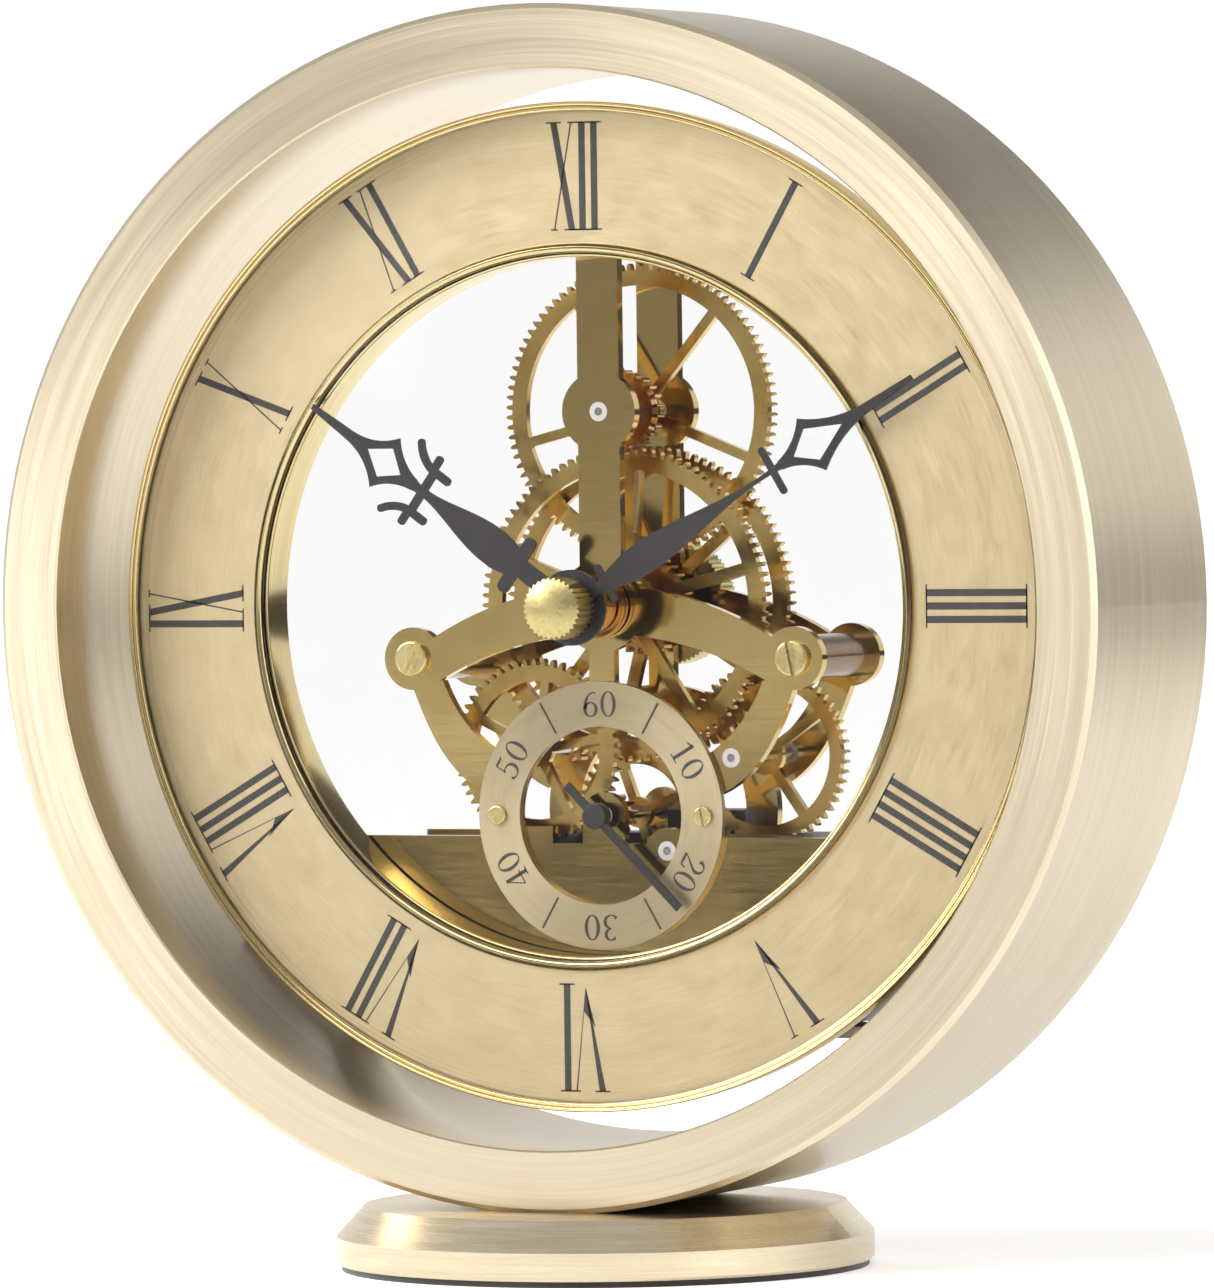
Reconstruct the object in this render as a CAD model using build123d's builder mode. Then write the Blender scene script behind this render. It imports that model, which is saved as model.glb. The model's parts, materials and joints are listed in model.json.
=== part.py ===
"""Mantel skeleton clock: a deep brushed ring on a round foot, holding an open quartz-driven movement.

Millimetres. +Z is up and the dial faces -Y. The origin is the centre of the foot's underside.
Positions on the clock's face are given as (x, z) from the hand axis, which runs along Y.
"""
import os
from math import atan2, cos, degrees, pi, radians, sin, sqrt

from build123d import *

os.makedirs("parts", exist_ok=True)

# Foot
PAD_HEIGHT = 0.8
PAD_R = 34.2
FOOT_R = 34.9
FOOT_TOP_R = 31.3
FOOT_SHOULDER_Z = 4.4
FOOT_HEIGHT = 8.3
SADDLE_DEPTH = 0.3

# Ring that carries everything
RING_R = 77.5
RING_BORE_R = 69.3
RING_DEPTH = 38.0
RING_EDGE_BREAK = 0.7
AXIS_Z = FOOT_HEIGHT + RING_R - SADDLE_DEPTH

# Dial, its trims and the glass; all depths are measured along Y
DIAL_FRONT_Y = -5.5
DIAL_THICKNESS = 0.8
DIAL_R = 64.3
DIAL_BORE_R = 45.9
PAN_THICKNESS = 1.4
DIAL_BACK_Y = DIAL_FRONT_Y + DIAL_THICKNESS
PAN_BACK_Y = DIAL_BACK_Y + PAN_THICKNESS
BEZEL_R = 65.2
BEZEL_LIP_R = 64.0
GLASS_THICKNESS = 0.7

# Movement plates
PLATE_FRONT_Y = 1.0
PLATE_THICKNESS = 1.5
PLATE_GAP = 17.0
GAP_FRONT_Y = PLATE_FRONT_Y + PLATE_THICKNESS
GAP_BACK_Y = GAP_FRONT_Y + PLATE_GAP
REAR_PLATE_BACK_Y = GAP_BACK_Y + PLATE_THICKNESS
EAR = (27.2, -6.8)
TOP_PILLAR = (0.0, 50.5)
LOWER_POST = (38.0, -34.0)
PILLAR_R = 2.9

# Gear train: one module throughout, centre distances follow from the tooth counts
MODULE = 0.42
WHEEL_THICKNESS = 1.2
LARGE_RIM_WIDTH = 2.5
SMALL_RIM_WIDTH = 2.1
CENTRE_TEETH = 96
THIRD_PINION_TEETH = 8
THIRD_TEETH = 55
SECONDS_PINION_TEETH = 11
SECONDS_TEETH = 40
SMOOTHING_TEETH = 54
MOTOR_PINION_TEETH = 8
CANNON_TEETH = 30
MOTION_TEETH = 90
MOTION_PINION_TEETH = 24
HOUR_TEETH = 96
ARBOR_R = 0.8
PIVOT_R = 0.5
RUNNING_CLEARANCE = 0.05
FIXED_CLEARANCE = 0.02

# Depth of each wheel plane behind the front plate's inner face
SECONDS_PLANE = 2.0
HOUR_PLANE = 5.8
MOTOR_PLANE = 9.0
MOTION_PLANE = 11.2
CENTRE_PLANE = 13.6

# Time shown at rest, as clockwise angles from twelve
MINUTE_ANGLE = 59.0
HOUR_ANGLE = 305.5
SECONDS_ANGLE = 135.0

# Module case below the wheels
CASE_TOP = -29.9
CASE_BOTTOM = -54.4
CASE_R = 62.0
CASE_HALF_WIDTH = 46.0
COVER_THICKNESS = 1.0
BATTERY_R = 7.25
BATTERY_LENGTH = 50.5
BATTERY_Z = -45.1
BATTERY_Y = 11.2

BOTTOM = (Align.CENTER, Align.CENTER, Align.MIN)
TOP = (Align.CENTER, Align.CENTER, Align.MAX)


def pitch_radius(teeth):
    """Pitch radius of a gear with this many teeth."""
    return MODULE * teeth / 2


def centre_distance(teeth, other_teeth):
    """Distance between the arbors of two meshed gears."""
    return pitch_radius(teeth) + pitch_radius(other_teeth)


def facing(back_y, x=0.0, z=0.0, clockwise=0.0):
    """A plane that faces the viewer of the dial, at depth back_y, centred on a point of the face."""
    across = (cos(radians(clockwise)), 0, -sin(radians(clockwise)))
    return Plane(origin=(x, back_y, AXIS_Z + z), x_dir=across, z_dir=(0, -1, 0))


def facing_rear(front_y, x=0.0, z=0.0):
    """A plane that faces the viewer of the clock's back, centred on a point of the face."""
    return Plane(origin=(x, front_y, AXIS_Z + z), x_dir=(-1, 0, 0), z_dir=(0, 1, 0))


def radial(angle, radius, y):
    """A plane at this angle and radius about the hand axis, facing the axis."""
    c, s = cos(radians(angle)), sin(radians(angle))
    return Plane(origin=(radius * c, y, AXIS_Z + radius * s), x_dir=(0, 1, 0), z_dir=(-c, 0, -s))


def finish(piece, name):
    """Label one finished piece and write its STEP file."""
    piece.part.label = name
    export_step(piece.part, f"parts/{name}.step")


# Arbor positions on the face
CENTRE = (0.0, 0.0)
SECONDS = (0.0, -27.15)
MOTION = (0.0, centre_distance(CANNON_TEETH, MOTION_TEETH))


def meeting_point(first, first_radius, second, second_radius):
    """Left-hand point that lies at the given distances from two points on the vertical centre line."""
    gap = first[1] - second[1]
    drop = (first_radius**2 - second_radius**2 + gap**2) / (2 * gap)
    return (-sqrt(first_radius**2 - drop**2), first[1] - drop)


def beside(centre, distance, angle):
    """Point at a distance and an anticlockwise angle from the three o'clock side of a point."""
    return (centre[0] + distance * cos(radians(angle)), centre[1] + distance * sin(radians(angle)))


THIRD = meeting_point(
    CENTRE,
    centre_distance(CENTRE_TEETH, THIRD_PINION_TEETH),
    SECONDS,
    centre_distance(THIRD_TEETH, SECONDS_PINION_TEETH),
)
SMOOTHING = beside(SECONDS, centre_distance(SECONDS_TEETH, SMOOTHING_TEETH), 22.4)
MOTOR = beside(SECONDS, centre_distance(SECONDS_TEETH, MOTOR_PINION_TEETH), -26.8)


def mesh_phase(leader, leader_teeth, leader_phase, follower, follower_teeth):
    """Angle of one follower tooth, so that a gap of it faces a tooth of the leader."""
    towards = degrees(atan2(follower[1] - leader[1], follower[0] - leader[0]))
    lag = towards - leader_phase
    return towards + 180 + 180 / follower_teeth + lag * leader_teeth / follower_teeth


CENTRE_PHASE = 0.0
CANNON_PHASE = 0.0
HOUR_PHASE = 0.0
THIRD_PINION_PHASE = mesh_phase(CENTRE, CENTRE_TEETH, CENTRE_PHASE, THIRD, THIRD_PINION_TEETH)
THIRD_PHASE = 0.0
SECONDS_PINION_PHASE = mesh_phase(THIRD, THIRD_TEETH, THIRD_PHASE, SECONDS, SECONDS_PINION_TEETH)
SECONDS_PHASE = 0.0
SMOOTHING_PHASE = mesh_phase(SECONDS, SECONDS_TEETH, SECONDS_PHASE, SMOOTHING, SMOOTHING_TEETH)
MOTOR_PHASE = mesh_phase(SECONDS, SECONDS_TEETH, SECONDS_PHASE, MOTOR, MOTOR_PINION_TEETH)
MOTION_PHASE = mesh_phase(CENTRE, CANNON_TEETH, CANNON_PHASE, MOTION, MOTION_TEETH)
MOTION_PINION_PHASE = mesh_phase(CENTRE, HOUR_TEETH, HOUR_PHASE, MOTION, MOTION_PINION_TEETH)

# Tooth form: (height from the pitch circle in modules, half width as a share of the half tooth)
WHEEL_FLANK = ((-1.15, 1.05), (0.0, 0.86), (0.5, 0.6), (0.95, 0.2))
PINION_FLANK = ((-1.25, 0.72), (0.0, 0.78), (0.4, 0.56), (0.78, 0.2))
SMALLEST_WHEEL = 40


def tooth_outline(teeth, phase):
    """Closed outline of a gear as points: the same pointed clock tooth, repeated round the rim."""
    flank = WHEEL_FLANK if teeth >= SMALLEST_WHEEL else PINION_FLANK
    rising = [(height, -share) for height, share in flank]
    falling = [(height, share) for height, share in reversed(flank)]
    points = []
    for tooth in range(teeth):
        middle = radians(phase) + 2 * pi * tooth / teeth
        for height, share in rising + falling:
            radius = pitch_radius(teeth) + height * MODULE
            angle = middle + share * pi / (2 * teeth)
            points.append((radius * cos(angle), radius * sin(angle)))
    return points


def add_ring_sketch(outer_r, inner_r):
    """A flat ring in the current sketch."""
    Circle(outer_r)
    Circle(inner_r, mode=Mode.SUBTRACT)


def add_box_between(x_range, z_range, mode=Mode.ADD):
    """Rectangle of the face between two x and two z values."""
    with Locations(((x_range[0] + x_range[1]) / 2, (z_range[0] + z_range[1]) / 2)):
        Rectangle(x_range[1] - x_range[0], z_range[1] - z_range[0], mode=mode)


def plane_back(plane_depth):
    """Y of the rear face of a wheel whose front face is this far behind the front plate."""
    return GAP_FRONT_Y + plane_depth + WHEEL_THICKNESS


def make_wheel(name, centre, plane_depth, teeth, phase, shaft_r, spokes, spoke_width, first_spoke, hub_r):
    """A spoked brass wheel with a raised hub behind its rim plane."""
    rim_width = LARGE_RIM_WIDTH if teeth > SMOOTHING_TEETH else SMALL_RIM_WIDTH
    rim_r = pitch_radius(teeth) - rim_width
    with BuildPart() as wheel:
        with BuildSketch(facing(plane_back(plane_depth), *centre)):
            with BuildLine():
                Polyline(*tooth_outline(teeth, phase), close=True)
            make_face()
            Circle(rim_r, mode=Mode.SUBTRACT)
            with PolarLocations(rim_r / 2, spokes, start_angle=first_spoke):
                Rectangle(rim_r + 0.6, spoke_width)
            Circle(hub_r)
            Circle(shaft_r + FIXED_CLEARANCE, mode=Mode.SUBTRACT)
        extrude(amount=WHEEL_THICKNESS)
    finish(wheel, name)


def make_pinion(name, centre, front_y, back_y, teeth, phase, shaft_r):
    """A solid leafed pinion on its arbor."""
    with BuildPart() as pinion:
        with BuildSketch(facing(back_y, *centre)):
            with BuildLine():
                Polyline(*tooth_outline(teeth, phase), close=True)
            make_face()
            Circle(shaft_r + FIXED_CLEARANCE, mode=Mode.SUBTRACT)
        extrude(amount=back_y - front_y)
    finish(pinion, name)


def make_arbor(name, centre, steps):
    """A turned steel arbor: coaxial steps, each given as (front y, back y, radius)."""
    with BuildPart() as arbor:
        for front_y, back_y, radius in steps:
            with BuildSketch(facing(back_y, *centre)):
                Circle(radius)
            extrude(amount=back_y - front_y)
    finish(arbor, name)


def pivoted_steps(body_r=ARBOR_R):
    """Steps of an arbor that runs between the plates on two fine pivots."""
    shoulder = 0.4
    return (
        (PLATE_FRONT_Y + 0.1, GAP_FRONT_Y + shoulder, PIVOT_R),
        (GAP_FRONT_Y + shoulder, GAP_BACK_Y - shoulder, body_r),
        (GAP_BACK_Y - shoulder, REAR_PLATE_BACK_Y - 0.1, PIVOT_R),
    )


def make_slotted_screws(name, seats, head_r, head_height, shank_r, shank_length):
    """Low round-edged screws, one solid for each seat plane, with the slot along the plane's own x axis."""
    slot_depth = 0.45 * head_height
    slot_width = 0.34 * head_r
    rounding = 0.3 * head_height
    with BuildPart() as screws:
        with Locations(*seats):
            Cylinder(head_r, head_height, align=BOTTOM)
        fillet(screws.faces().filter_by(GeomType.CYLINDER).edges().filter_by(GeomType.CIRCLE), rounding)
        with Locations(*seats):
            Cylinder(shank_r, shank_length, align=TOP)
        with Locations(*[seat.offset(head_height) for seat in seats]):
            Box(2.2 * head_r, slot_width, 2 * slot_depth, mode=Mode.SUBTRACT)
    finish(screws, name)


# --- Foot -------------------------------------------------------------------------------------------
FOOT_SCREW_Y = 9.0
FOOT_SCREW_HEAD_R = 3.4
FOOT_SCREW_HEAD_HEIGHT = 2.2
FOOT_SCREW_R = 2.0
FOOT_SCREW_SEAT_Z = PAD_HEIGHT + 2.8
FOOT_SCREW_TIP_Z = FOOT_HEIGHT + 4.8


def make_foot_pad():
    """Thin felt pad under the foot."""
    with BuildPart() as pad:
        with BuildSketch(Plane.XY):
            Circle(PAD_R)
        extrude(amount=PAD_HEIGHT)
    finish(pad, "foot_pad")


def make_foot():
    """Turned foot with a bevelled shoulder, a shallow saddle for the ring and two screw holes."""
    edge = 0.35
    with BuildPart() as foot:
        with BuildSketch(Plane.XZ):
            with BuildLine():
                Polyline(
                    (0, PAD_HEIGHT),
                    (FOOT_R - edge, PAD_HEIGHT),
                    (FOOT_R, PAD_HEIGHT + edge),
                    (FOOT_R, FOOT_SHOULDER_Z),
                    (FOOT_TOP_R, FOOT_HEIGHT),
                    (0, FOOT_HEIGHT),
                    close=True,
                )
            make_face()
        revolve(axis=Axis.Z)
        with BuildSketch(facing(RING_DEPTH / 2)):
            Circle(RING_R)
        extrude(amount=RING_DEPTH, mode=Mode.SUBTRACT)
        with Locations((0, -FOOT_SCREW_Y, PAD_HEIGHT), (0, FOOT_SCREW_Y, PAD_HEIGHT)):
            Cylinder(FOOT_SCREW_HEAD_R + 0.3, 2.8, align=BOTTOM, mode=Mode.SUBTRACT)
            Cylinder(FOOT_SCREW_R + 0.2, FOOT_HEIGHT, align=BOTTOM, mode=Mode.SUBTRACT)
    finish(foot, "foot_disc")


def make_foot_screws():
    """Two hex-socket screws that clamp the ring down on the foot from below."""
    with BuildPart() as screws:
        with Locations((0, -FOOT_SCREW_Y, FOOT_SCREW_SEAT_Z), (0, FOOT_SCREW_Y, FOOT_SCREW_SEAT_Z)):
            Cylinder(FOOT_SCREW_HEAD_R, FOOT_SCREW_HEAD_HEIGHT, align=TOP)
            Cylinder(FOOT_SCREW_R, FOOT_SCREW_TIP_Z - FOOT_SCREW_SEAT_Z, align=BOTTOM)
        socket_floor = Plane.XY.offset(FOOT_SCREW_SEAT_Z - FOOT_SCREW_HEAD_HEIGHT)
        with BuildSketch(socket_floor):
            with Locations((0, -FOOT_SCREW_Y), (0, FOOT_SCREW_Y)):
                RegularPolygon(1.7, 6)
        extrude(amount=1.4, mode=Mode.SUBTRACT)
    finish(screws, "foot_screws")


# --- Ring and the bracket behind the dial -----------------------------------------------------------
BRACKET_FRONT_Y = 6.0
BRACKET_BACK_Y = 16.0
BRACKET_THICKNESS = 1.5
BRACKET_SCREW_ANGLES = (-134.0, -46.0)
BRACKET_Y = (BRACKET_FRONT_Y + BRACKET_BACK_Y) / 2
BRACKET_SCREW_R = 1.2
BRACKET_SCREW_X = 15.0
RING_FIT_R = RING_BORE_R - 0.05


def make_outer_ring():
    """Deep ring with softly broken edges, drilled for the foot screws and the bracket screws."""
    with BuildPart() as ring:
        with BuildSketch(facing(RING_DEPTH / 2)):
            add_ring_sketch(RING_R, RING_BORE_R)
        extrude(amount=RING_DEPTH)
        rims = ring.edges().filter_by(GeomType.CIRCLE).sort_by(SortBy.RADIUS)
        chamfer(rims[-2:], RING_EDGE_BREAK)
        chamfer(rims[:2], RING_EDGE_BREAK / 3)
        with Locations((0, -FOOT_SCREW_Y, 0), (0, FOOT_SCREW_Y, 0)):
            Cylinder(FOOT_SCREW_R + FIXED_CLEARANCE, FOOT_SCREW_TIP_Z + 0.3, align=BOTTOM, mode=Mode.SUBTRACT)
        with Locations(*[radial(angle, RING_BORE_R + 5.0, BRACKET_Y) for angle in BRACKET_SCREW_ANGLES]):
            Cylinder(BRACKET_SCREW_R + FIXED_CLEARANCE, 8.0, align=BOTTOM, mode=Mode.SUBTRACT)
    finish(ring, "outer_ring")


def make_mounting_bracket():
    """Steel strap under the movement, with curved ends that lie against the ring's bore."""
    tab_sweep = 15.5
    bar_z = CASE_BOTTOM - BRACKET_THICKNESS
    bar_half_length = sqrt(RING_FIT_R**2 - bar_z**2)
    with BuildPart() as bracket:
        with BuildSketch(facing(BRACKET_BACK_Y)):
            for start in (-141.0, -39.0 - tab_sweep):
                with BuildLine():
                    outer = CenterArc((0, 0), RING_FIT_R, start, tab_sweep)
                    inner = CenterArc((0, 0), RING_FIT_R - BRACKET_THICKNESS, start, tab_sweep)
                    Line(outer @ 0, inner @ 0)
                    Line(outer @ 1, inner @ 1)
                make_face()
            with Locations((0, CASE_BOTTOM - BRACKET_THICKNESS / 2)):
                Rectangle(2 * bar_half_length, BRACKET_THICKNESS)
        extrude(amount=BRACKET_BACK_Y - BRACKET_FRONT_Y)
        seats = [radial(angle, RING_FIT_R, BRACKET_Y) for angle in BRACKET_SCREW_ANGLES]
        with Locations(*seats):
            Cylinder(BRACKET_SCREW_R + RUNNING_CLEARANCE, 8.0, mode=Mode.SUBTRACT)
        with Locations(*[(x, BRACKET_Y, AXIS_Z + bar_z) for x in (-BRACKET_SCREW_X, BRACKET_SCREW_X)]):
            Cylinder(BRACKET_SCREW_R + RUNNING_CLEARANCE, 8.0, mode=Mode.SUBTRACT)
    finish(bracket, "mounting_bracket")


def make_bracket_screws():
    """Two screws into the ring and two up into the module case."""
    under_z = AXIS_Z + CASE_BOTTOM - BRACKET_THICKNESS
    below = [
        Plane(origin=(x, BRACKET_Y, under_z), x_dir=(1, 0, 0), z_dir=(0, 0, -1))
        for x in (-BRACKET_SCREW_X, BRACKET_SCREW_X)
    ]
    seat_r = RING_FIT_R - BRACKET_THICKNESS - 0.05
    inside = [radial(angle, seat_r, BRACKET_Y) for angle in BRACKET_SCREW_ANGLES]
    make_slotted_screws("bracket_ring_screws", inside, 2.2, 1.2, BRACKET_SCREW_R, 5.8)
    make_slotted_screws("bracket_case_screws", below, 2.2, 1.2, BRACKET_SCREW_R, BRACKET_THICKNESS + 1.3)


# --- Dial, trims and glass --------------------------------------------------------------------------
TRIM_FLANGE_R = 47.0
TRIM_R = 45.85
TRIM_BORE_R = 45.2
TRIM_FRONT_Y = -6.35
TRIM_BACK_Y = PLATE_FRONT_Y - 0.6
GLASS_R = 64.3
GLASS_SHOULDER_R = 57.8
GLASS_RIM_Y = DIAL_FRONT_Y - 0.05
GLASS_RIM_THICKNESS = 0.35
GLASS_SHOULDER_Y = -9.9
GLASS_APEX_Y = -15.6
BEZEL_WALL = 0.8
POST_R = 2.2
DIAL_SCREW_R = 1.0
DIAL_SCREW_TIP_Y = 6.2


def mirrored_points(point):
    """A point of the face and its mirror image across the vertical centre line."""
    return [point, (-point[0], point[1])]


DIAL_SCREW_POINTS = [TOP_PILLAR] + mirrored_points(LOWER_POST)


def make_dial_ring():
    """Flat brushed dial ring, bonded to the pan behind it."""
    with BuildPart() as dial:
        with BuildSketch(facing(DIAL_BACK_Y)):
            add_ring_sketch(DIAL_R, DIAL_BORE_R)
        extrude(amount=DIAL_THICKNESS)
    finish(dial, "dial_ring")


def make_dial_pan():
    """Stiff backing ring behind the dial, countersunk for its three screws."""
    with BuildPart() as pan:
        with BuildSketch(facing(PAN_BACK_Y)):
            add_ring_sketch(DIAL_R, DIAL_BORE_R)
        extrude(amount=PAN_THICKNESS)
        with Locations(*[facing(DIAL_BACK_Y, *point) for point in DIAL_SCREW_POINTS]):
            CounterSinkHole(DIAL_SCREW_R + RUNNING_CLEARANCE, 2.0, PAN_THICKNESS)
    finish(pan, "dial_pan")


def make_dial_posts():
    """Three spacers that hold the dial clear of the front plate."""
    with BuildPart() as posts:
        with BuildSketch(facing(PLATE_FRONT_Y)):
            with Locations(*DIAL_SCREW_POINTS):
                add_ring_sketch(POST_R, DIAL_SCREW_R + RUNNING_CLEARANCE)
        extrude(amount=PLATE_FRONT_Y - PAN_BACK_Y)
    finish(posts, "dial_posts")


def make_dial_screws():
    """Three countersunk screws under the dial, reaching through the plate."""
    head_height = 0.95
    with BuildPart() as screws:
        with Locations(*[facing(DIAL_BACK_Y + 0.1, *point) for point in DIAL_SCREW_POINTS]):
            Cone(DIAL_SCREW_R, DIAL_SCREW_R + 0.8, head_height, align=TOP)
            Cylinder(DIAL_SCREW_R, DIAL_SCREW_TIP_Y - DIAL_BACK_Y, align=TOP)
    finish(screws, "dial_screws")


def make_bezel():
    """Thin polished bezel: a wall round the dial and two beads that hold the glass in."""
    bead = (BEZEL_R - BEZEL_LIP_R) / 4
    lip_back_y = GLASS_RIM_Y - GLASS_RIM_THICKNESS - RUNNING_CLEARANCE
    bead_y = lip_back_y - bead
    wall_r = BEZEL_R - BEZEL_WALL
    valley_r = BEZEL_LIP_R + 2 * bead
    valley_y = bead_y - bead / 3
    with BuildPart() as bezel:
        with BuildSketch(Plane.XY.offset(AXIS_Z)):
            with BuildLine():
                Line((wall_r, PAN_BACK_Y), (BEZEL_R, PAN_BACK_Y))
                Line((BEZEL_R, PAN_BACK_Y), (BEZEL_R, bead_y))
                ThreePointArc((BEZEL_R, bead_y), (BEZEL_R - bead, bead_y - bead), (valley_r, valley_y))
                ThreePointArc(
                    (valley_r, valley_y), (BEZEL_LIP_R + bead, bead_y - bead), (BEZEL_LIP_R, bead_y)
                )
                Line((BEZEL_LIP_R, bead_y), (BEZEL_LIP_R, lip_back_y))
                Line((BEZEL_LIP_R, lip_back_y), (wall_r, lip_back_y))
                Line((wall_r, lip_back_y), (wall_r, PAN_BACK_Y))
            make_face()
        revolve(axis=Axis((0, 0, AXIS_Z), (0, 1, 0)))
    finish(bezel, "dial_bezel")


def make_inner_trim():
    """Polished trim in the dial's opening: a rounded flange, a groove, a second bead and a short tube."""
    crest_r = TRIM_FLANGE_R - 0.8
    groove_r = TRIM_R - 0.2
    bead_y = DIAL_FRONT_Y + 0.6
    with BuildPart() as trim:
        with BuildSketch(Plane.XY.offset(AXIS_Z)):
            with BuildLine():
                ThreePointArc(
                    (TRIM_FLANGE_R, DIAL_FRONT_Y), (crest_r, TRIM_FRONT_Y), (groove_r, DIAL_FRONT_Y - 0.3)
                )
                Line((groove_r, DIAL_FRONT_Y - 0.3), (groove_r - 0.1, bead_y - 0.4))
                ThreePointArc(
                    (groove_r - 0.1, bead_y - 0.4),
                    (TRIM_BORE_R + 0.1, bead_y - 0.2),
                    (TRIM_BORE_R, bead_y + 0.4),
                )
                Polyline(
                    (TRIM_BORE_R, bead_y + 0.4),
                    (TRIM_BORE_R, TRIM_BACK_Y),
                    (TRIM_R, TRIM_BACK_Y),
                    (TRIM_R, DIAL_FRONT_Y),
                    (TRIM_FLANGE_R, DIAL_FRONT_Y),
                )
            make_face()
        revolve(axis=Axis((0, 0, AXIS_Z), (0, 1, 0)))
    finish(trim, "inner_trim")


def glass_profile(rim_y, shoulder_y, apex_y, shoulder_r, rim_r):
    """One face of the lens in (radius, y): a steep rounded shoulder and a shallow crown."""
    crown_middle = shoulder_r / 2
    crown_middle_y = apex_y + (shoulder_y - apex_y) / 4
    bulge_r = rim_r - 0.18 * (rim_r - shoulder_r)
    bulge_y = rim_y + 0.62 * (shoulder_y - rim_y)
    ThreePointArc((0, apex_y), (crown_middle, crown_middle_y), (shoulder_r, shoulder_y))
    ThreePointArc((shoulder_r, shoulder_y), (bulge_r, bulge_y), (rim_r, rim_y))


def make_glass():
    """High domed lens: a flat rim under the bezel's lip, a steep shoulder and a shallow crown."""
    rim_back_r = BEZEL_LIP_R - 1.4
    rim_front_r = rim_back_r + 0.5
    front = GLASS_THICKNESS
    rim_front_y = GLASS_RIM_Y - GLASS_RIM_THICKNESS
    with BuildPart() as glass:
        with BuildSketch(Plane.XY.offset(AXIS_Z)):
            with BuildLine():
                glass_profile(GLASS_RIM_Y, GLASS_SHOULDER_Y, GLASS_APEX_Y, GLASS_SHOULDER_R, rim_back_r)
                glass_profile(
                    rim_front_y,
                    GLASS_SHOULDER_Y - front,
                    GLASS_APEX_Y - front,
                    GLASS_SHOULDER_R + front / 2,
                    rim_front_r,
                )
                Line((0, GLASS_APEX_Y), (0, GLASS_APEX_Y - front))
                Line((rim_back_r, GLASS_RIM_Y), (GLASS_R, GLASS_RIM_Y))
                Line((GLASS_R, GLASS_RIM_Y), (GLASS_R, rim_front_y))
                Line((GLASS_R, rim_front_y), (rim_front_r, rim_front_y))
            make_face()
        revolve(axis=Axis((0, 0, AXIS_Z), (0, 1, 0)))
    finish(glass, "front_glass")


# --- Movement plates --------------------------------------------------------------------------------
BAR_WIDTH = 5.9
STEM_WIDTH = 3.6
BUSH_R = 1.25
HOUR_PIPE_R = 2.2
HOUR_PIPE_BORE_R = 1.15
CENTRE_ARBOR_R = 1.1
CARRIER_R = 16.5
CARRIER_BORE_R = 12.0
SEGMENT_R = 54.5
SEGMENT_BOTTOM = -53.0
STRIP_BOTTOM = -36.6
PLATE_SCREW_R = 1.0
CASE_SCREW = (31.0, -33.3)
SECONDS_ARBOR_R = 0.6
SECONDS_BOSS_R = 3.0
NOTCH_X = (-7.3, 6.2)


def add_arch():
    """Curved cross member between the two ears, under the hand axis."""
    shoulder_x = 25.5
    lower_r = 48.0
    crown_z = -3.6
    shoulder_z = crown_z - lower_r + sqrt(lower_r**2 - shoulder_x**2)
    with BuildLine() as outline:
        ThreePointArc((-EAR[0], -6.0), (0, 2.6), (EAR[0], -6.0))
        Line((EAR[0], -6.0), (shoulder_x, shoulder_z))
        ThreePointArc((shoulder_x, shoulder_z), (0, crown_z), (-shoulder_x, shoulder_z))
        Line((-shoulder_x, shoulder_z), (-EAR[0], -6.0))
    make_face(outline.edges())


def add_legs():
    """The two tapering legs from the ears down to the seconds carrier and the foot of the plate."""
    for side in (-1, 1):
        with BuildLine() as outline:
            Spline((side * 27.3, -10.4), (side * 25.2, -15.3), (side * 22.3, -20.0), (side * 16.6, -24.4))
            Line((side * 16.6, -24.4), (side * 12.5, -20.5))
            Spline((side * 12.5, -20.5), (side * 18.6, -16.3), (side * 22.9, -9.6))
            Line((side * 22.9, -9.6), (side * 27.3, -10.4))
        make_face(outline.edges())


def add_segment(radius, bottom, top):
    """Part of a disc about the hand axis, between two heights."""
    half_top = sqrt(radius**2 - top**2)
    half_bottom = sqrt(radius**2 - bottom**2)
    middle = (atan2(top, half_top) + atan2(bottom, half_bottom)) / 2
    with BuildLine() as outline:
        Line((-half_top, top), (half_top, top))
        ThreePointArc((half_top, top), (radius * cos(middle), radius * sin(middle)), (half_bottom, bottom))
        Line((half_bottom, bottom), (-half_bottom, bottom))
        ThreePointArc((-half_bottom, bottom), (-radius * cos(middle), radius * sin(middle)), (-half_top, top))
    make_face(outline.edges())


def add_plate_frame():
    """Everything that the front and rear plates have in common above the module case."""
    stem_length = -SECONDS[1] - CARRIER_R + 1.0
    with Locations(SECONDS):
        add_ring_sketch(CARRIER_R, CARRIER_BORE_R)
    with Locations((0, TOP_PILLAR[1] / 2)):
        Rectangle(BAR_WIDTH, TOP_PILLAR[1])
    with Locations(TOP_PILLAR):
        Circle(4.1)
    with Locations(MOTION):
        Circle(5.2)
    with Locations(*mirrored_points(EAR)):
        Circle(4.1)
    Circle(6.0)
    add_arch()
    add_legs()
    with Locations((0, -stem_length / 2)):
        Rectangle(STEM_WIDTH, stem_length)


def cut_round_holes(points, radius):
    """Round holes through the current sketch."""
    with Locations(*points):
        Circle(radius, mode=Mode.SUBTRACT)


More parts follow.
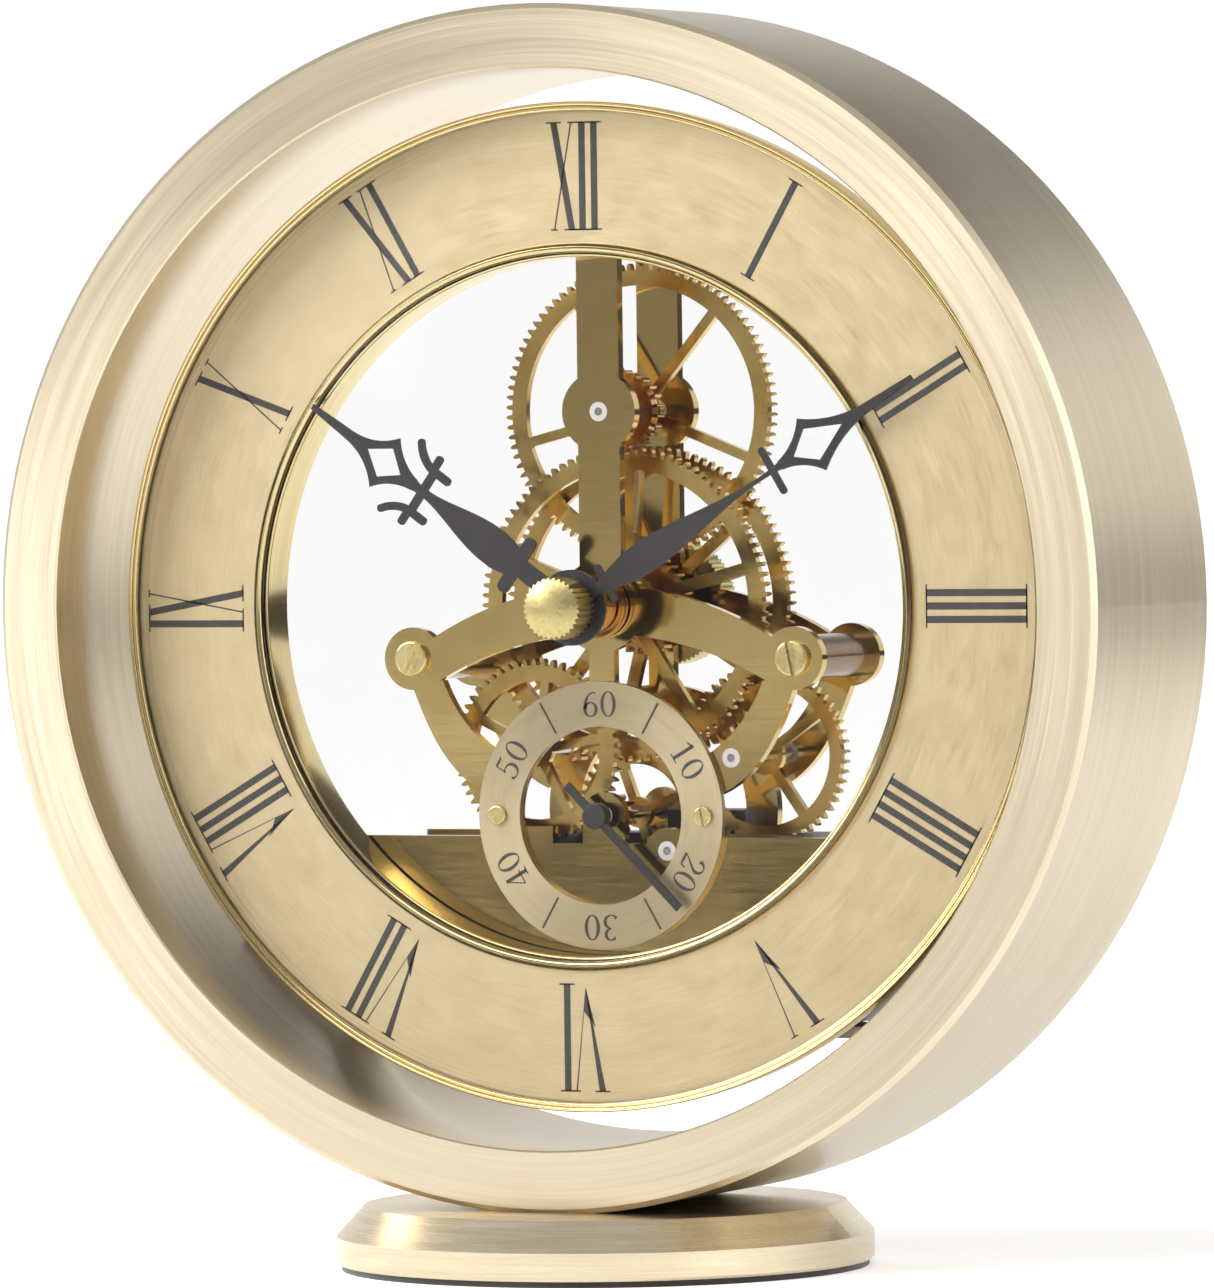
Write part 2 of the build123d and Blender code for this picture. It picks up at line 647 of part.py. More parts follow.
def make_front_plate():
    """Polished front plate: frame, seconds bearing boss and the lower segment in front of the case."""
    block_top = -28.6
    notch_bottom = -30.8
    with BuildPart() as plate:
        with BuildSketch(facing(GAP_FRONT_Y)):
            add_plate_frame()
            add_segment(SEGMENT_R, SEGMENT_BOTTOM, CASE_TOP)
            add_box_between(NOTCH_X, (notch_bottom, block_top), Mode.SUBTRACT)
            add_box_between((NOTCH_X[0] - 4.7, NOTCH_X[0]), (CASE_TOP, block_top))
            with Locations(MOTOR):
                Circle(SECONDS_BOSS_R)
            add_box_between((-SECONDS_BOSS_R, SECONDS_BOSS_R), (notch_bottom, SECONDS[1]))
            with Locations(SECONDS):
                Circle(SECONDS_BOSS_R)
            cut_round_holes(bearing_points() + [MOTOR, SECONDS], BUSH_R + FIXED_CLEARANCE)
            cut_round_holes([CENTRE], HOUR_PIPE_R + RUNNING_CLEARANCE)
            cut_round_holes(mirrored_points(EAR) + DIAL_SCREW_POINTS, PLATE_SCREW_R + RUNNING_CLEARANCE)
            cut_round_holes(SECONDS_SCREW_POINTS, SECONDS_SCREW_R + FIXED_CLEARANCE)
        extrude(amount=PLATE_THICKNESS)
    finish(plate, "front_plate")


def make_rear_plate():
    """Rear plate: the same frame, with a strip across the back of the case."""
    strip_half_width = 34.5
    with BuildPart() as plate:
        with BuildSketch(facing(REAR_PLATE_BACK_Y)):
            add_plate_frame()
            add_box_between((-CARRIER_R, CARRIER_R), (SECONDS[1] - CARRIER_R, STRIP_BOTTOM), Mode.SUBTRACT)
            add_box_between((-strip_half_width, strip_half_width), (STRIP_BOTTOM, CASE_TOP))
            add_box_between((-SECONDS_BOSS_R, SECONDS_BOSS_R), (STRIP_BOTTOM, SECONDS[1]))
            with Locations(SECONDS):
                Circle(SECONDS_BOSS_R)
            cut_round_holes(bearing_points() + [SECONDS], BUSH_R + FIXED_CLEARANCE)
            cut_round_holes([CENTRE], CENTRE_ARBOR_R + RUNNING_CLEARANCE)
            screws = mirrored_points(EAR) + [TOP_PILLAR] + mirrored_points(CASE_SCREW)
            cut_round_holes(screws, PLATE_SCREW_R + RUNNING_CLEARANCE)
        extrude(amount=PLATE_THICKNESS)
    finish(plate, "rear_plate")


def bearing_points():
    """Arbors that turn in small bushes in both plates."""
    return [MOTION, THIRD, SMOOTHING]


def make_pivot_bushes():
    """White nylon bushes pressed into the plates, bored for the pivots."""
    with BuildPart() as bushes:
        with BuildSketch(facing(GAP_FRONT_Y)):
            with Locations(*bearing_points(), MOTOR):
                add_ring_sketch(BUSH_R, PIVOT_R + RUNNING_CLEARANCE)
            with Locations(SECONDS):
                add_ring_sketch(BUSH_R, SECONDS_ARBOR_R + RUNNING_CLEARANCE)
        extrude(amount=PLATE_THICKNESS)
        with BuildSketch(facing(REAR_PLATE_BACK_Y)):
            with Locations(*bearing_points(), SECONDS):
                add_ring_sketch(BUSH_R, PIVOT_R + RUNNING_CLEARANCE)
        extrude(amount=PLATE_THICKNESS)
    finish(bushes, "pivot_bushes")


def make_pillars():
    """Three turned pillars between the plates, tapped at both ends."""
    thread_depth = 5.0
    points = mirrored_points(EAR) + [TOP_PILLAR]
    with BuildPart() as pillars:
        with BuildSketch(facing(GAP_BACK_Y)):
            with Locations(*points):
                Circle(PILLAR_R)
        extrude(amount=PLATE_GAP)
        with Locations(*[facing(GAP_FRONT_Y, *point) for point in points]):
            Cylinder(PLATE_SCREW_R + FIXED_CLEARANCE, thread_depth, align=TOP, mode=Mode.SUBTRACT)
        with Locations(*[facing_rear(GAP_BACK_Y, *point) for point in points]):
            Cylinder(PLATE_SCREW_R + FIXED_CLEARANCE, thread_depth, align=TOP, mode=Mode.SUBTRACT)
    finish(pillars, "plate_pillars")


def make_plate_screws():
    """Slotted screws: two in front at the ears, three behind into the pillars, two into the case."""
    reach = PLATE_THICKNESS + 3.5
    front = [
        facing(PLATE_FRONT_Y, *point, clockwise=turn)
        for point, turn in zip(mirrored_points(EAR), (78, -61))
    ]
    rear_points = mirrored_points(EAR) + [TOP_PILLAR]
    rear = [facing_rear(REAR_PLATE_BACK_Y, *point) for point in rear_points]
    case = [facing_rear(REAR_PLATE_BACK_Y, *point) for point in mirrored_points(CASE_SCREW)]
    make_slotted_screws("front_plate_screws", front, 2.3, 0.9, PLATE_SCREW_R, reach)
    make_slotted_screws("rear_plate_screws", rear, 2.3, 0.9, PLATE_SCREW_R, reach)
    make_slotted_screws("case_screws", case, 2.3, 0.9, PLATE_SCREW_R, reach)


# --- Seconds dial -----------------------------------------------------------------------------------
SECONDS_DIAL_R = 17.4
SECONDS_DIAL_BORE_R = 11.55
SECONDS_DIAL_THICKNESS = 1.0
SECONDS_SCREW_R = 0.6
SECONDS_SCREW_POINTS = [(-14.7, SECONDS[1]), (14.7, SECONDS[1])]


def make_seconds_dial():
    """Satin ring with the seconds scale, screwed to the front plate."""
    with BuildPart() as ring:
        with BuildSketch(facing(PLATE_FRONT_Y)):
            with Locations(SECONDS):
                add_ring_sketch(SECONDS_DIAL_R, SECONDS_DIAL_BORE_R)
            cut_round_holes(SECONDS_SCREW_POINTS, SECONDS_SCREW_R + RUNNING_CLEARANCE)
        extrude(amount=SECONDS_DIAL_THICKNESS)
    finish(ring, "seconds_dial")
    seats = [
        facing(PLATE_FRONT_Y - SECONDS_DIAL_THICKNESS, *point, clockwise=turn)
        for point, turn in zip(SECONDS_SCREW_POINTS, (-35, 80))
    ]
    make_slotted_screws("seconds_dial_screws", seats, 1.25, 0.5, SECONDS_SCREW_R, 2.2)


# --- Module case ------------------------------------------------------------------------------------
MOTOR_BLOCK_TOP = -26.9
MOTOR_WALL_Y = GAP_FRONT_Y + 10.9
MOTOR_CAVITY_Y = MOTOR_WALL_Y + 1.0
COVER_FRONT_Y = GAP_BACK_Y - COVER_THICKNESS
MOTOR_CAVITY_R = 3.1
BAY_X = (-29.4, 24.2)
BAY_Z = (-52.7, -37.5)
BAY_FRONT_Y = BATTERY_Y - BATTERY_R - 0.45
MOTOR_CAVITY_X = (4.6, 27.5)
MOTOR_CAVITY_Z = (-36.2, -30.9)
BOARD_CAVITY_X = (26.4, 36.8)
BOARD_CAVITY_Z = (-47.6, -36.0)
LOW_TOP_END_X = -9.0
LOW_TOP_DROP = 1.0


def grown(span, margin):
    """A range widened by the same margin at both ends."""
    return (span[0] - margin, span[1] + margin)


def add_cover_outline(margin):
    """Outline of the cover over the motor and the circuit board."""
    add_box_between(grown(MOTOR_CAVITY_X, 0.8 - margin), grown(MOTOR_CAVITY_Z, 0.8 - margin))
    board_z = (BOARD_CAVITY_Z[0] - 1.0 + margin, MOTOR_CAVITY_Z[1])
    add_box_between(grown(BOARD_CAVITY_X, 1.0 - margin), board_z)
    with Locations(MOTOR):
        Circle(MOTOR_CAVITY_R + 0.8 - margin)


def add_motor_cavity():
    """Outline of the space that the motor and the circuit board fill."""
    add_box_between(MOTOR_CAVITY_X, MOTOR_CAVITY_Z)
    add_box_between(BOARD_CAVITY_X, BOARD_CAVITY_Z)
    with Locations(MOTOR):
        Circle(MOTOR_CAVITY_R)


def cut_wheel_well(centre, radius, front_y, back_y):
    """Round well in the case for the lower part of a wheel."""
    with Locations(facing(back_y, *centre)):
        Cylinder(radius, back_y - front_y, align=BOTTOM, mode=Mode.SUBTRACT)


def make_module_case():
    """Case between the plates: wheel wells on top, motor space and an open battery bay behind."""
    seconds_tip_r = pitch_radius(SECONDS_TEETH) + MODULE
    smoothing_tip_r = pitch_radius(SMOOTHING_TEETH) + MODULE
    third_tip_r = pitch_radius(THIRD_TEETH) + MODULE
    smoothing_front_y = GAP_FRONT_Y + MOTOR_PLANE
    third_front_y = GAP_FRONT_Y + SECONDS_PLANE
    with BuildPart() as case:
        with BuildSketch(facing(GAP_BACK_Y)):
            Circle(CASE_R)
            add_box_between((-CASE_HALF_WIDTH, CASE_HALF_WIDTH), (CASE_BOTTOM, CASE_TOP), Mode.INTERSECT)
        extrude(amount=PLATE_GAP)
        with BuildSketch(facing(GAP_BACK_Y)):
            add_box_between((-CASE_HALF_WIDTH, LOW_TOP_END_X), (CASE_TOP - LOW_TOP_DROP, CASE_TOP + 1.0))
        extrude(amount=PLATE_GAP, mode=Mode.SUBTRACT)
        with BuildSketch(facing(GAP_BACK_Y)):
            add_box_between((3.4, 14.6), (CASE_TOP - 1.0, MOTOR_BLOCK_TOP))
        extrude(amount=GAP_BACK_Y - MOTOR_WALL_Y)
        cut_wheel_well(SECONDS, seconds_tip_r + 0.6, GAP_FRONT_Y, MOTOR_WALL_Y)
        cut_wheel_well(MOTOR, 2.9, GAP_FRONT_Y, MOTOR_WALL_Y)
        cut_wheel_well(SMOOTHING, smoothing_tip_r + 0.5, smoothing_front_y - 0.5, MOTOR_WALL_Y)
        cut_wheel_well(THIRD, third_tip_r + 0.5, third_front_y - 0.5, third_front_y + WHEEL_THICKNESS + 0.5)
        with BuildSketch(facing(GAP_BACK_Y)):
            add_box_between(BAY_X, BAY_Z)
        extrude(amount=GAP_BACK_Y - BAY_FRONT_Y, mode=Mode.SUBTRACT)
        with BuildSketch(facing(GAP_BACK_Y)):
            add_motor_cavity()
        extrude(amount=GAP_BACK_Y - MOTOR_CAVITY_Y, mode=Mode.SUBTRACT)
        with BuildSketch(facing(GAP_BACK_Y)):
            add_cover_outline(0.0)
        extrude(amount=COVER_THICKNESS, mode=Mode.SUBTRACT)
        cut_wheel_well(MOTOR, SECONDS_ARBOR_R + 0.3, MOTOR_WALL_Y, MOTOR_CAVITY_Y)
        with Locations(*[facing(GAP_FRONT_Y, *point) for point in mirrored_points(LOWER_POST)]):
            Cylinder(DIAL_SCREW_R + FIXED_CLEARANCE, 6.5, align=TOP, mode=Mode.SUBTRACT)
        with Locations(*[facing_rear(GAP_BACK_Y, *point) for point in mirrored_points(CASE_SCREW)]):
            Cylinder(PLATE_SCREW_R + FIXED_CLEARANCE, 5.0, align=TOP, mode=Mode.SUBTRACT)
        with Locations(*[(x, BRACKET_Y, AXIS_Z + CASE_BOTTOM) for x in (-BRACKET_SCREW_X, BRACKET_SCREW_X)]):
            Cylinder(BRACKET_SCREW_R + FIXED_CLEARANCE, 1.5, align=BOTTOM, mode=Mode.SUBTRACT)
    finish(case, "module_case")


def make_module_cover():
    """Flat cover let into the back of the case, with the rotor's rear bearing."""
    with BuildPart() as cover:
        with BuildSketch(facing(GAP_BACK_Y)):
            add_cover_outline(0.1)
            cut_round_holes([MOTOR], MOTOR_PIVOT_R + RUNNING_CLEARANCE)
            cut_round_holes([CASE_SCREW], PLATE_SCREW_R + 0.2)
        extrude(amount=COVER_THICKNESS)
    finish(cover, "module_cover")


MOTOR_PIVOT_R = 0.4
ROTOR_R = 2.0
STATOR_BORE_R = 2.35
STATOR_R = 3.0
STATOR_Y = (MOTOR_CAVITY_Y + 1.4, MOTOR_CAVITY_Y + 2.4)
COIL_R = 1.8
COIL_X = (13.6, 25.0)
CORE_Z = -33.5
CORE_HALF = 0.6


def make_motor():
    """Stepping motor: laminated stator, wound coil on its leg, and the rotor magnet."""
    core_middle_y = (STATOR_Y[0] + STATOR_Y[1]) / 2
    with BuildPart() as stator:
        with BuildSketch(facing(STATOR_Y[1])):
            with Locations(MOTOR):
                Circle(STATOR_R)
            add_box_between((MOTOR[0], 26.6), (CORE_Z - CORE_HALF, CORE_Z + CORE_HALF))
            cut_round_holes([MOTOR], STATOR_BORE_R)
        extrude(amount=STATOR_Y[1] - STATOR_Y[0])
    finish(stator, "motor_stator")
    coil_plane = Plane(origin=(COIL_X[0], core_middle_y, AXIS_Z + CORE_Z), x_dir=(0, 1, 0), z_dir=(1, 0, 0))
    with BuildPart() as coil:
        with BuildSketch(coil_plane):
            Circle(COIL_R)
            Rectangle(1.0 + 2 * RUNNING_CLEARANCE, 2 * (CORE_HALF + RUNNING_CLEARANCE), mode=Mode.SUBTRACT)
        extrude(amount=COIL_X[1] - COIL_X[0])
    finish(coil, "motor_coil")
    with BuildPart() as rotor:
        with BuildSketch(facing(STATOR_Y[1] + 0.8, *MOTOR)):
            add_ring_sketch(ROTOR_R, SECONDS_ARBOR_R + FIXED_CLEARANCE)
        extrude(amount=STATOR_Y[1] - STATOR_Y[0] + 1.6)
    finish(rotor, "rotor_magnet")


def make_circuit_board():
    """Small circuit board with a potted chip and a quartz can lying on it."""
    board_y = MOTOR_CAVITY_Y + 1.0
    can_r = 0.95
    with BuildPart() as board:
        with BuildSketch(facing(board_y)):
            add_box_between(grown(BOARD_CAVITY_X, -0.6), (BOARD_CAVITY_Z[0] + 0.6, -37.6))
        extrude(amount=0.8)
    finish(board, "circuit_board")
    with BuildPart() as chip:
        with BuildSketch(facing_rear(board_y, 33.4, -42.6)):
            Circle(1.9)
        extrude(amount=0.9)
        fillet(chip.faces().sort_by(Axis.Y)[-1].edges(), 0.7)
    finish(chip, "potted_chip")
    with BuildPart() as can:
        with BuildSketch(Plane.XY.offset(AXIS_Z - 45.4)):
            with Locations((29.4, board_y + can_r)):
                Circle(can_r)
        extrude(amount=6.0)
        fillet(can.edges().filter_by(GeomType.CIRCLE), 0.3)
    finish(can, "quartz_can")


def along_x(x, y, z):
    """A plane that faces +X at a point given by x, y and face z."""
    return Plane(origin=(x, y, AXIS_Z + z), x_dir=(0, 1, 0), z_dir=(1, 0, 0))


def make_battery():
    """AA cell lying across the bay, and the pressed contact at each end."""
    contact = 0.5
    button_length = 1.0
    left_x = BAY_X[0] + RUNNING_CLEARANCE
    right_x = BAY_X[1] - RUNNING_CLEARANCE
    slack = (right_x - left_x - BATTERY_LENGTH - 2 * contact) / 2
    cell_x = left_x + contact + slack
    with BuildPart() as battery:
        with BuildSketch(along_x(cell_x, BATTERY_Y, BATTERY_Z)):
            Circle(BATTERY_R)
        extrude(amount=BATTERY_LENGTH - button_length)
        chamfer(battery.edges().filter_by(GeomType.CIRCLE), 0.5)
        with BuildSketch(along_x(cell_x + BATTERY_LENGTH - button_length, BATTERY_Y, BATTERY_Z)):
            Circle(2.75)
        extrude(amount=button_length)
    finish(battery, "battery")
    with BuildPart() as contacts:
        with Locations(along_x(left_x, BATTERY_Y, BATTERY_Z)):
            Box(9.0, 10.0, contact, align=BOTTOM)
            Cylinder(2.6, contact + slack, align=BOTTOM)
        with Locations(along_x(right_x, BATTERY_Y, BATTERY_Z)):
            Box(9.0, 10.0, contact, align=TOP)
            Cylinder(2.6, contact + slack, align=TOP)
    finish(contacts, "battery_contacts")


# --- Moving arbors ----------------------------------------------------------------------------------
SECONDS_HAND_Y = PLATE_FRONT_Y - 2.35
SECONDS_CAP_FRONT_Y = PLATE_FRONT_Y - 3.0
HOUR_HAND_Y = DIAL_FRONT_Y - 2.15
MINUTE_HAND_Y = HOUR_HAND_Y - 0.85
HAND_THICKNESS = 0.35
HOUR_HUB_THICKNESS = 0.5
NUT_BACK_Y = MINUTE_HAND_Y - HAND_THICKNESS - 0.75
NUT_RIM_Y = NUT_BACK_Y - 4.4
NUT_FRONT_Y = NUT_RIM_Y - 0.6
NUT_R = 4.05
KNOB_R = 8.2
KNOB_FRONT_Y = REAR_PLATE_BACK_Y + 0.6
KNOB_BACK_Y = KNOB_FRONT_Y + 4.0


def make_seconds_train():
    """Arbor that carries the seconds hand, its drive wheel and the pinion that the third wheel meshes."""
    shoulder = 0.4
    make_arbor(
        "seconds_arbor",
        SECONDS,
        (
            (SECONDS_CAP_FRONT_Y + 0.5, GAP_FRONT_Y + shoulder, SECONDS_ARBOR_R),
            (GAP_FRONT_Y + shoulder, GAP_BACK_Y - shoulder, ARBOR_R),
            (GAP_BACK_Y - shoulder, REAR_PLATE_BACK_Y - 0.1, PIVOT_R),
        ),
    )
    make_wheel("seconds_wheel", SECONDS, MOTOR_PLANE, SECONDS_TEETH, SECONDS_PHASE, ARBOR_R, 4, 1.2, 20, 2.0)
    front_y = GAP_FRONT_Y + SECONDS_PLANE - 0.4
    back_y = plane_back(SECONDS_PLANE) + 0.4
    make_pinion(
        "seconds_pinion", SECONDS, front_y, back_y, SECONDS_PINION_TEETH, SECONDS_PINION_PHASE, ARBOR_R
    )


def make_third_train():
    """Intermediate arbor between the seconds pinion and the centre wheel."""
    make_arbor("third_arbor", THIRD, pivoted_steps())
    make_wheel("third_wheel", THIRD, SECONDS_PLANE, THIRD_TEETH, THIRD_PHASE, ARBOR_R, 5, 1.2, 10, 2.2)
    front_y = GAP_FRONT_Y + CENTRE_PLANE - 0.5
    back_y = plane_back(CENTRE_PLANE) + 0.5
    make_pinion("third_pinion", THIRD, front_y, back_y, THIRD_PINION_TEETH, THIRD_PINION_PHASE, ARBOR_R)


def make_smoothing_train():
    """Idler wheel that smooths the seconds train."""
    make_arbor("smoothing_arbor", SMOOTHING, pivoted_steps())
    make_wheel(
        "smoothing_wheel", SMOOTHING, MOTOR_PLANE, SMOOTHING_TEETH, SMOOTHING_PHASE, ARBOR_R, 4, 1.3, 35, 2.6
    )


def make_motor_arbor():
    """Rotor arbor with the pinion that drives the seconds wheel."""
    make_arbor(
        "motor_arbor",
        MOTOR,
        (
            (PLATE_FRONT_Y + 0.1, GAP_FRONT_Y + 0.4, PIVOT_R),
            (GAP_FRONT_Y + 0.4, COVER_FRONT_Y - 0.3, SECONDS_ARBOR_R),
            (COVER_FRONT_Y - 0.3, GAP_BACK_Y - 0.1, MOTOR_PIVOT_R),
        ),
    )
    front_y = GAP_FRONT_Y + MOTOR_PLANE - 0.4
    back_y = plane_back(MOTOR_PLANE) + 0.3
    make_pinion(
        "motor_pinion", MOTOR, front_y, back_y, MOTOR_PINION_TEETH, MOTOR_PHASE, SECONDS_ARBOR_R
    )


def make_motion_train():
    """Motion-work arbor at the top of the bar, between the cannon pinion and the hour wheel."""
    make_arbor("motion_arbor", MOTION, pivoted_steps())
    make_wheel("motion_wheel", MOTION, MOTION_PLANE, MOTION_TEETH, MOTION_PHASE, ARBOR_R, 5, 1.3, -22, 3.0)
    front_y = GAP_FRONT_Y + HOUR_PLANE - 0.4
    back_y = plane_back(HOUR_PLANE) + 0.4
    make_pinion(
        "motion_pinion", MOTION, front_y, back_y, MOTION_PINION_TEETH, MOTION_PINION_PHASE, ARBOR_R
    )


def make_centre_train():
    """Centre arbor from the hand nut to the setting knob, with the centre wheel and cannon pinion."""
    make_arbor("centre_arbor", CENTRE, ((NUT_RIM_Y + 0.5, KNOB_BACK_Y - 0.6, CENTRE_ARBOR_R),))
    make_wheel(
        "centre_wheel", CENTRE, CENTRE_PLANE, CENTRE_TEETH, CENTRE_PHASE, CENTRE_ARBOR_R, 5, 1.6, 40, 3.6
    )
    front_y = GAP_FRONT_Y + MOTION_PLANE - 0.6
    back_y = plane_back(MOTION_PLANE) + 0.6
    make_pinion("cannon_pinion", CENTRE, front_y, back_y, CANNON_TEETH, CANNON_PHASE, CENTRE_ARBOR_R)


def make_hour_train():
    """Hour pipe running on the centre arbor, with a grooved collar in front and the hour wheel behind."""
    pipe_front_y = HOUR_HAND_Y - HOUR_HUB_THICKNESS
    pipe_back_y = plane_back(HOUR_PLANE) + 1.2
    flange_y = PLATE_FRONT_Y - 2.0
    collar = (
        (HOUR_HAND_Y, flange_y - 0.4, 3.3),
        (flange_y - 0.4, flange_y, 2.9),
        (flange_y, flange_y + 0.6, 4.1),
        (flange_y + 0.6, flange_y + 0.9, 3.7),
        (flange_y + 0.9, PLATE_FRONT_Y - 0.4, 4.1),
    )
    with BuildPart() as pipe:
        for front_y, back_y, radius in collar:
            with BuildSketch(facing(back_y)):
                Circle(radius)
            extrude(amount=back_y - front_y)
        with BuildSketch(facing(pipe_back_y)):
            Circle(HOUR_PIPE_R)
        extrude(amount=pipe_back_y - pipe_front_y)
        with BuildSketch(facing(pipe_back_y)):
            Circle(HOUR_PIPE_BORE_R)
        extrude(amount=pipe_back_y - pipe_front_y, mode=Mode.SUBTRACT)
    finish(pipe, "hour_pipe")
    make_wheel("hour_wheel", CENTRE, HOUR_PLANE, HOUR_TEETH, HOUR_PHASE, HOUR_PIPE_R, 5, 1.6, 15, 4.2)


def make_setting_knob():
    """Finely knurled knob behind the rear plate."""
    knurls = 72
    knurl_depth = 0.3
    with BuildPart() as knob:
        with BuildSketch(facing(KNOB_BACK_Y)):
            Circle(KNOB_R)
            with PolarLocations(KNOB_R, knurls):
                RegularPolygon(knurl_depth, 4, mode=Mode.SUBTRACT)
        extrude(amount=KNOB_BACK_Y - KNOB_FRONT_Y)
        with BuildSketch(facing(KNOB_BACK_Y + 0.5)):
            Circle(KNOB_R - 1.6)
        extrude(amount=0.5)
        with BuildSketch(facing(KNOB_BACK_Y - 0.5)):
            Circle(CENTRE_ARBOR_R + FIXED_CLEARANCE)
        extrude(amount=KNOB_BACK_Y - 0.5 - KNOB_FRONT_Y, mode=Mode.SUBTRACT)
    finish(knob, "setting_knob")


def make_hand_nut():
    """Coarsely knurled brass nut with a gently domed front, on the end of the centre arbor."""
    knurls = 32
    knurl_depth = 0.42
    dome_r = NUT_R - 0.1
    with BuildPart() as nut:
        with BuildSketch(facing(NUT_BACK_Y)):
            Circle(NUT_R)
        extrude(amount=NUT_BACK_Y - NUT_RIM_Y)
        with BuildSketch(Plane.XY.offset(AXIS_Z)):
            with BuildLine():
                Line((0, NUT_RIM_Y), (0, NUT_FRONT_Y))
                ThreePointArc((0, NUT_FRONT_Y), (dome_r / 2, NUT_FRONT_Y + 0.15), (dome_r, NUT_RIM_Y))
                Line((dome_r, NUT_RIM_Y), (0, NUT_RIM_Y))
            make_face()
        revolve(axis=Axis((0, 0, AXIS_Z), (0, 1, 0)))
        with BuildSketch(facing(NUT_BACK_Y)):
            with PolarLocations(NUT_R, knurls):
                RegularPolygon(knurl_depth, 4)
        extrude(amount=NUT_BACK_Y - NUT_FRONT_Y, mode=Mode.SUBTRACT)
        with BuildSketch(facing(NUT_BACK_Y)):
            Circle(CENTRE_ARBOR_R + FIXED_CLEARANCE)
        extrude(amount=NUT_BACK_Y - NUT_RIM_Y - 0.4, mode=Mode.SUBTRACT)
    finish(nut, "hand_nut")


# --- Hands ------------------------------------------------------------------------------------------
# Each hand is drawn pointing to twelve: across first, then along.


def add_symmetric_spline(stations):
    """Closed shape between a curve through (half width, along) stations and its mirror image."""
    right = [(half, along) for half, along in stations]
    left = [(-half, along) for half, along in reversed(stations)]
    with BuildLine() as outline:
        Spline(*right)
        Line(right[-1], left[0])
        Spline(*left)
        Line(left[-1], right[0])
    make_face(outline.edges())


def add_loop(base, corner, tip, window):
    """Diamond loop with hollowed sides; each of base, corner and tip is (half width, along)."""
    bow = 0.55
    with BuildLine() as outline:
        for side in (1, -1):
            low = (side * base[0], base[1])
            wide = (side * corner[0], corner[1])
            high = (side * tip[0], tip[1])
            lower_middle = (side * ((base[0] + corner[0]) / 2 - bow), (base[1] + corner[1]) / 2 + bow / 2)
            upper_middle = (side * ((tip[0] + corner[0]) / 2 - bow), (tip[1] + corner[1]) / 2 - bow)
            ThreePointArc(low, lower_middle, wide)
            ThreePointArc(wide, upper_middle, high)
        Line((-base[0], base[1]), (base[0], base[1]))
        Line((-tip[0], tip[1]), (tip[0], tip[1]))
    make_face(outline.edges())
    window_low, window_wide, window_high = window
    corners = ((0, window_low), (window_wide, corner[1]), (0, window_high), (-window_wide, corner[1]))
    Polygon(*corners, align=None, mode=Mode.SUBTRACT)


def add_needle(start, start_half, end, end_half):
    """Straight tapering point of a hand."""
    corners = ((-start_half, start), (start_half, start), (end_half, end), (-end_half, end))
    Polygon(*corners, align=None)


def add_bar(along, half_length, width):
    """Bar across a hand."""
    with Locations((0, along)):
        RectangleRounded(2 * half_length, width, 0.45 * width)


def make_hour_hand():
    """Pierced hour hand with a cross bar, a leaf, a pair of curled horns and an open diamond."""
    hub_r = 4.9
    with BuildPart() as hand:
        with BuildSketch(facing(HOUR_HAND_Y)):
            add_ring_sketch(hub_r, HOUR_PIPE_R + FIXED_CLEARANCE)
        extrude(amount=HOUR_HUB_THICKNESS)
        with BuildSketch(facing(HOUR_HAND_Y, clockwise=HOUR_ANGLE)):
            Circle(hub_r)
            add_needle(3.0, 1.25, 9.0, 1.25)
            add_bar(9.5, 4.1, 1.8)
            add_symmetric_spline([(1.5, 9.0), (2.45, 14.8), (1.55, 20.0), (0.65, 24.4), (0.7, 27.6)])
            add_bar(26.0, 2.9, 1.2)
            for side in (1, -1):
                with Locations((side * 3.1, 25.1)):
                    RectangleRounded(1.1, 3.6, 0.45)
                with Locations((side * 4.0, 26.3)):
                    RectangleRounded(2.6, 1.1, 0.45)
                with BuildLine():
                    inner = ThreePointArc((side * 2.6, 26.6), (side * 3.4, 28.6), (side * 5.0, 30.2))
                    outer = ThreePointArc((side * 3.6, 26.4), (side * 4.35, 28.1), (side * 5.6, 29.4))
                    Line(inner @ 0, outer @ 0)
                    ThreePointArc(inner @ 1, (side * 5.6, 30.0), outer @ 1)
                make_face()
            add_loop((0.75, 27.4), (3.85, 32.6), (0.7, 38.8), (29.8, 2.2, 35.7))
            add_needle(38.7, 0.7, 45.4, 0.36)
            Circle(HOUR_PIPE_R + FIXED_CLEARANCE, mode=Mode.SUBTRACT)
        extrude(amount=HAND_THICKNESS)
    finish(hand, "hour_hand")


def make_minute_hand():
    """Pierced minute hand with two cross bars, a long leaf and an open diamond, on a short collar."""
    hub_r = 3.3
    with BuildPart() as hand:
        with BuildSketch(facing(MINUTE_HAND_Y, clockwise=MINUTE_ANGLE)):
            Circle(hub_r)
            add_needle(2.0, 0.8, 6.5, 0.8)
            add_bar(6.2, 2.7, 0.95)
            add_symmetric_spline([(0.9, 6.0), (2.05, 14.8), (1.3, 21.0), (0.55, 26.5), (0.55, 35.4)])
            add_bar(33.8, 3.4, 0.95)
            add_loop((0.6, 35.0), (3.85, 40.2), (0.65, 49.0), (37.2, 2.3, 45.2))
            add_needle(48.9, 0.65, 56.5, 0.34)
            Circle(CENTRE_ARBOR_R + FIXED_CLEARANCE, mode=Mode.SUBTRACT)
        extrude(amount=HAND_THICKNESS)
        with BuildSketch(facing(MINUTE_HAND_Y)):
            add_ring_sketch(hub_r, CENTRE_ARBOR_R + FIXED_CLEARANCE)
        extrude(amount=MINUTE_HAND_Y - NUT_BACK_Y)
    finish(hand, "minute_hand")


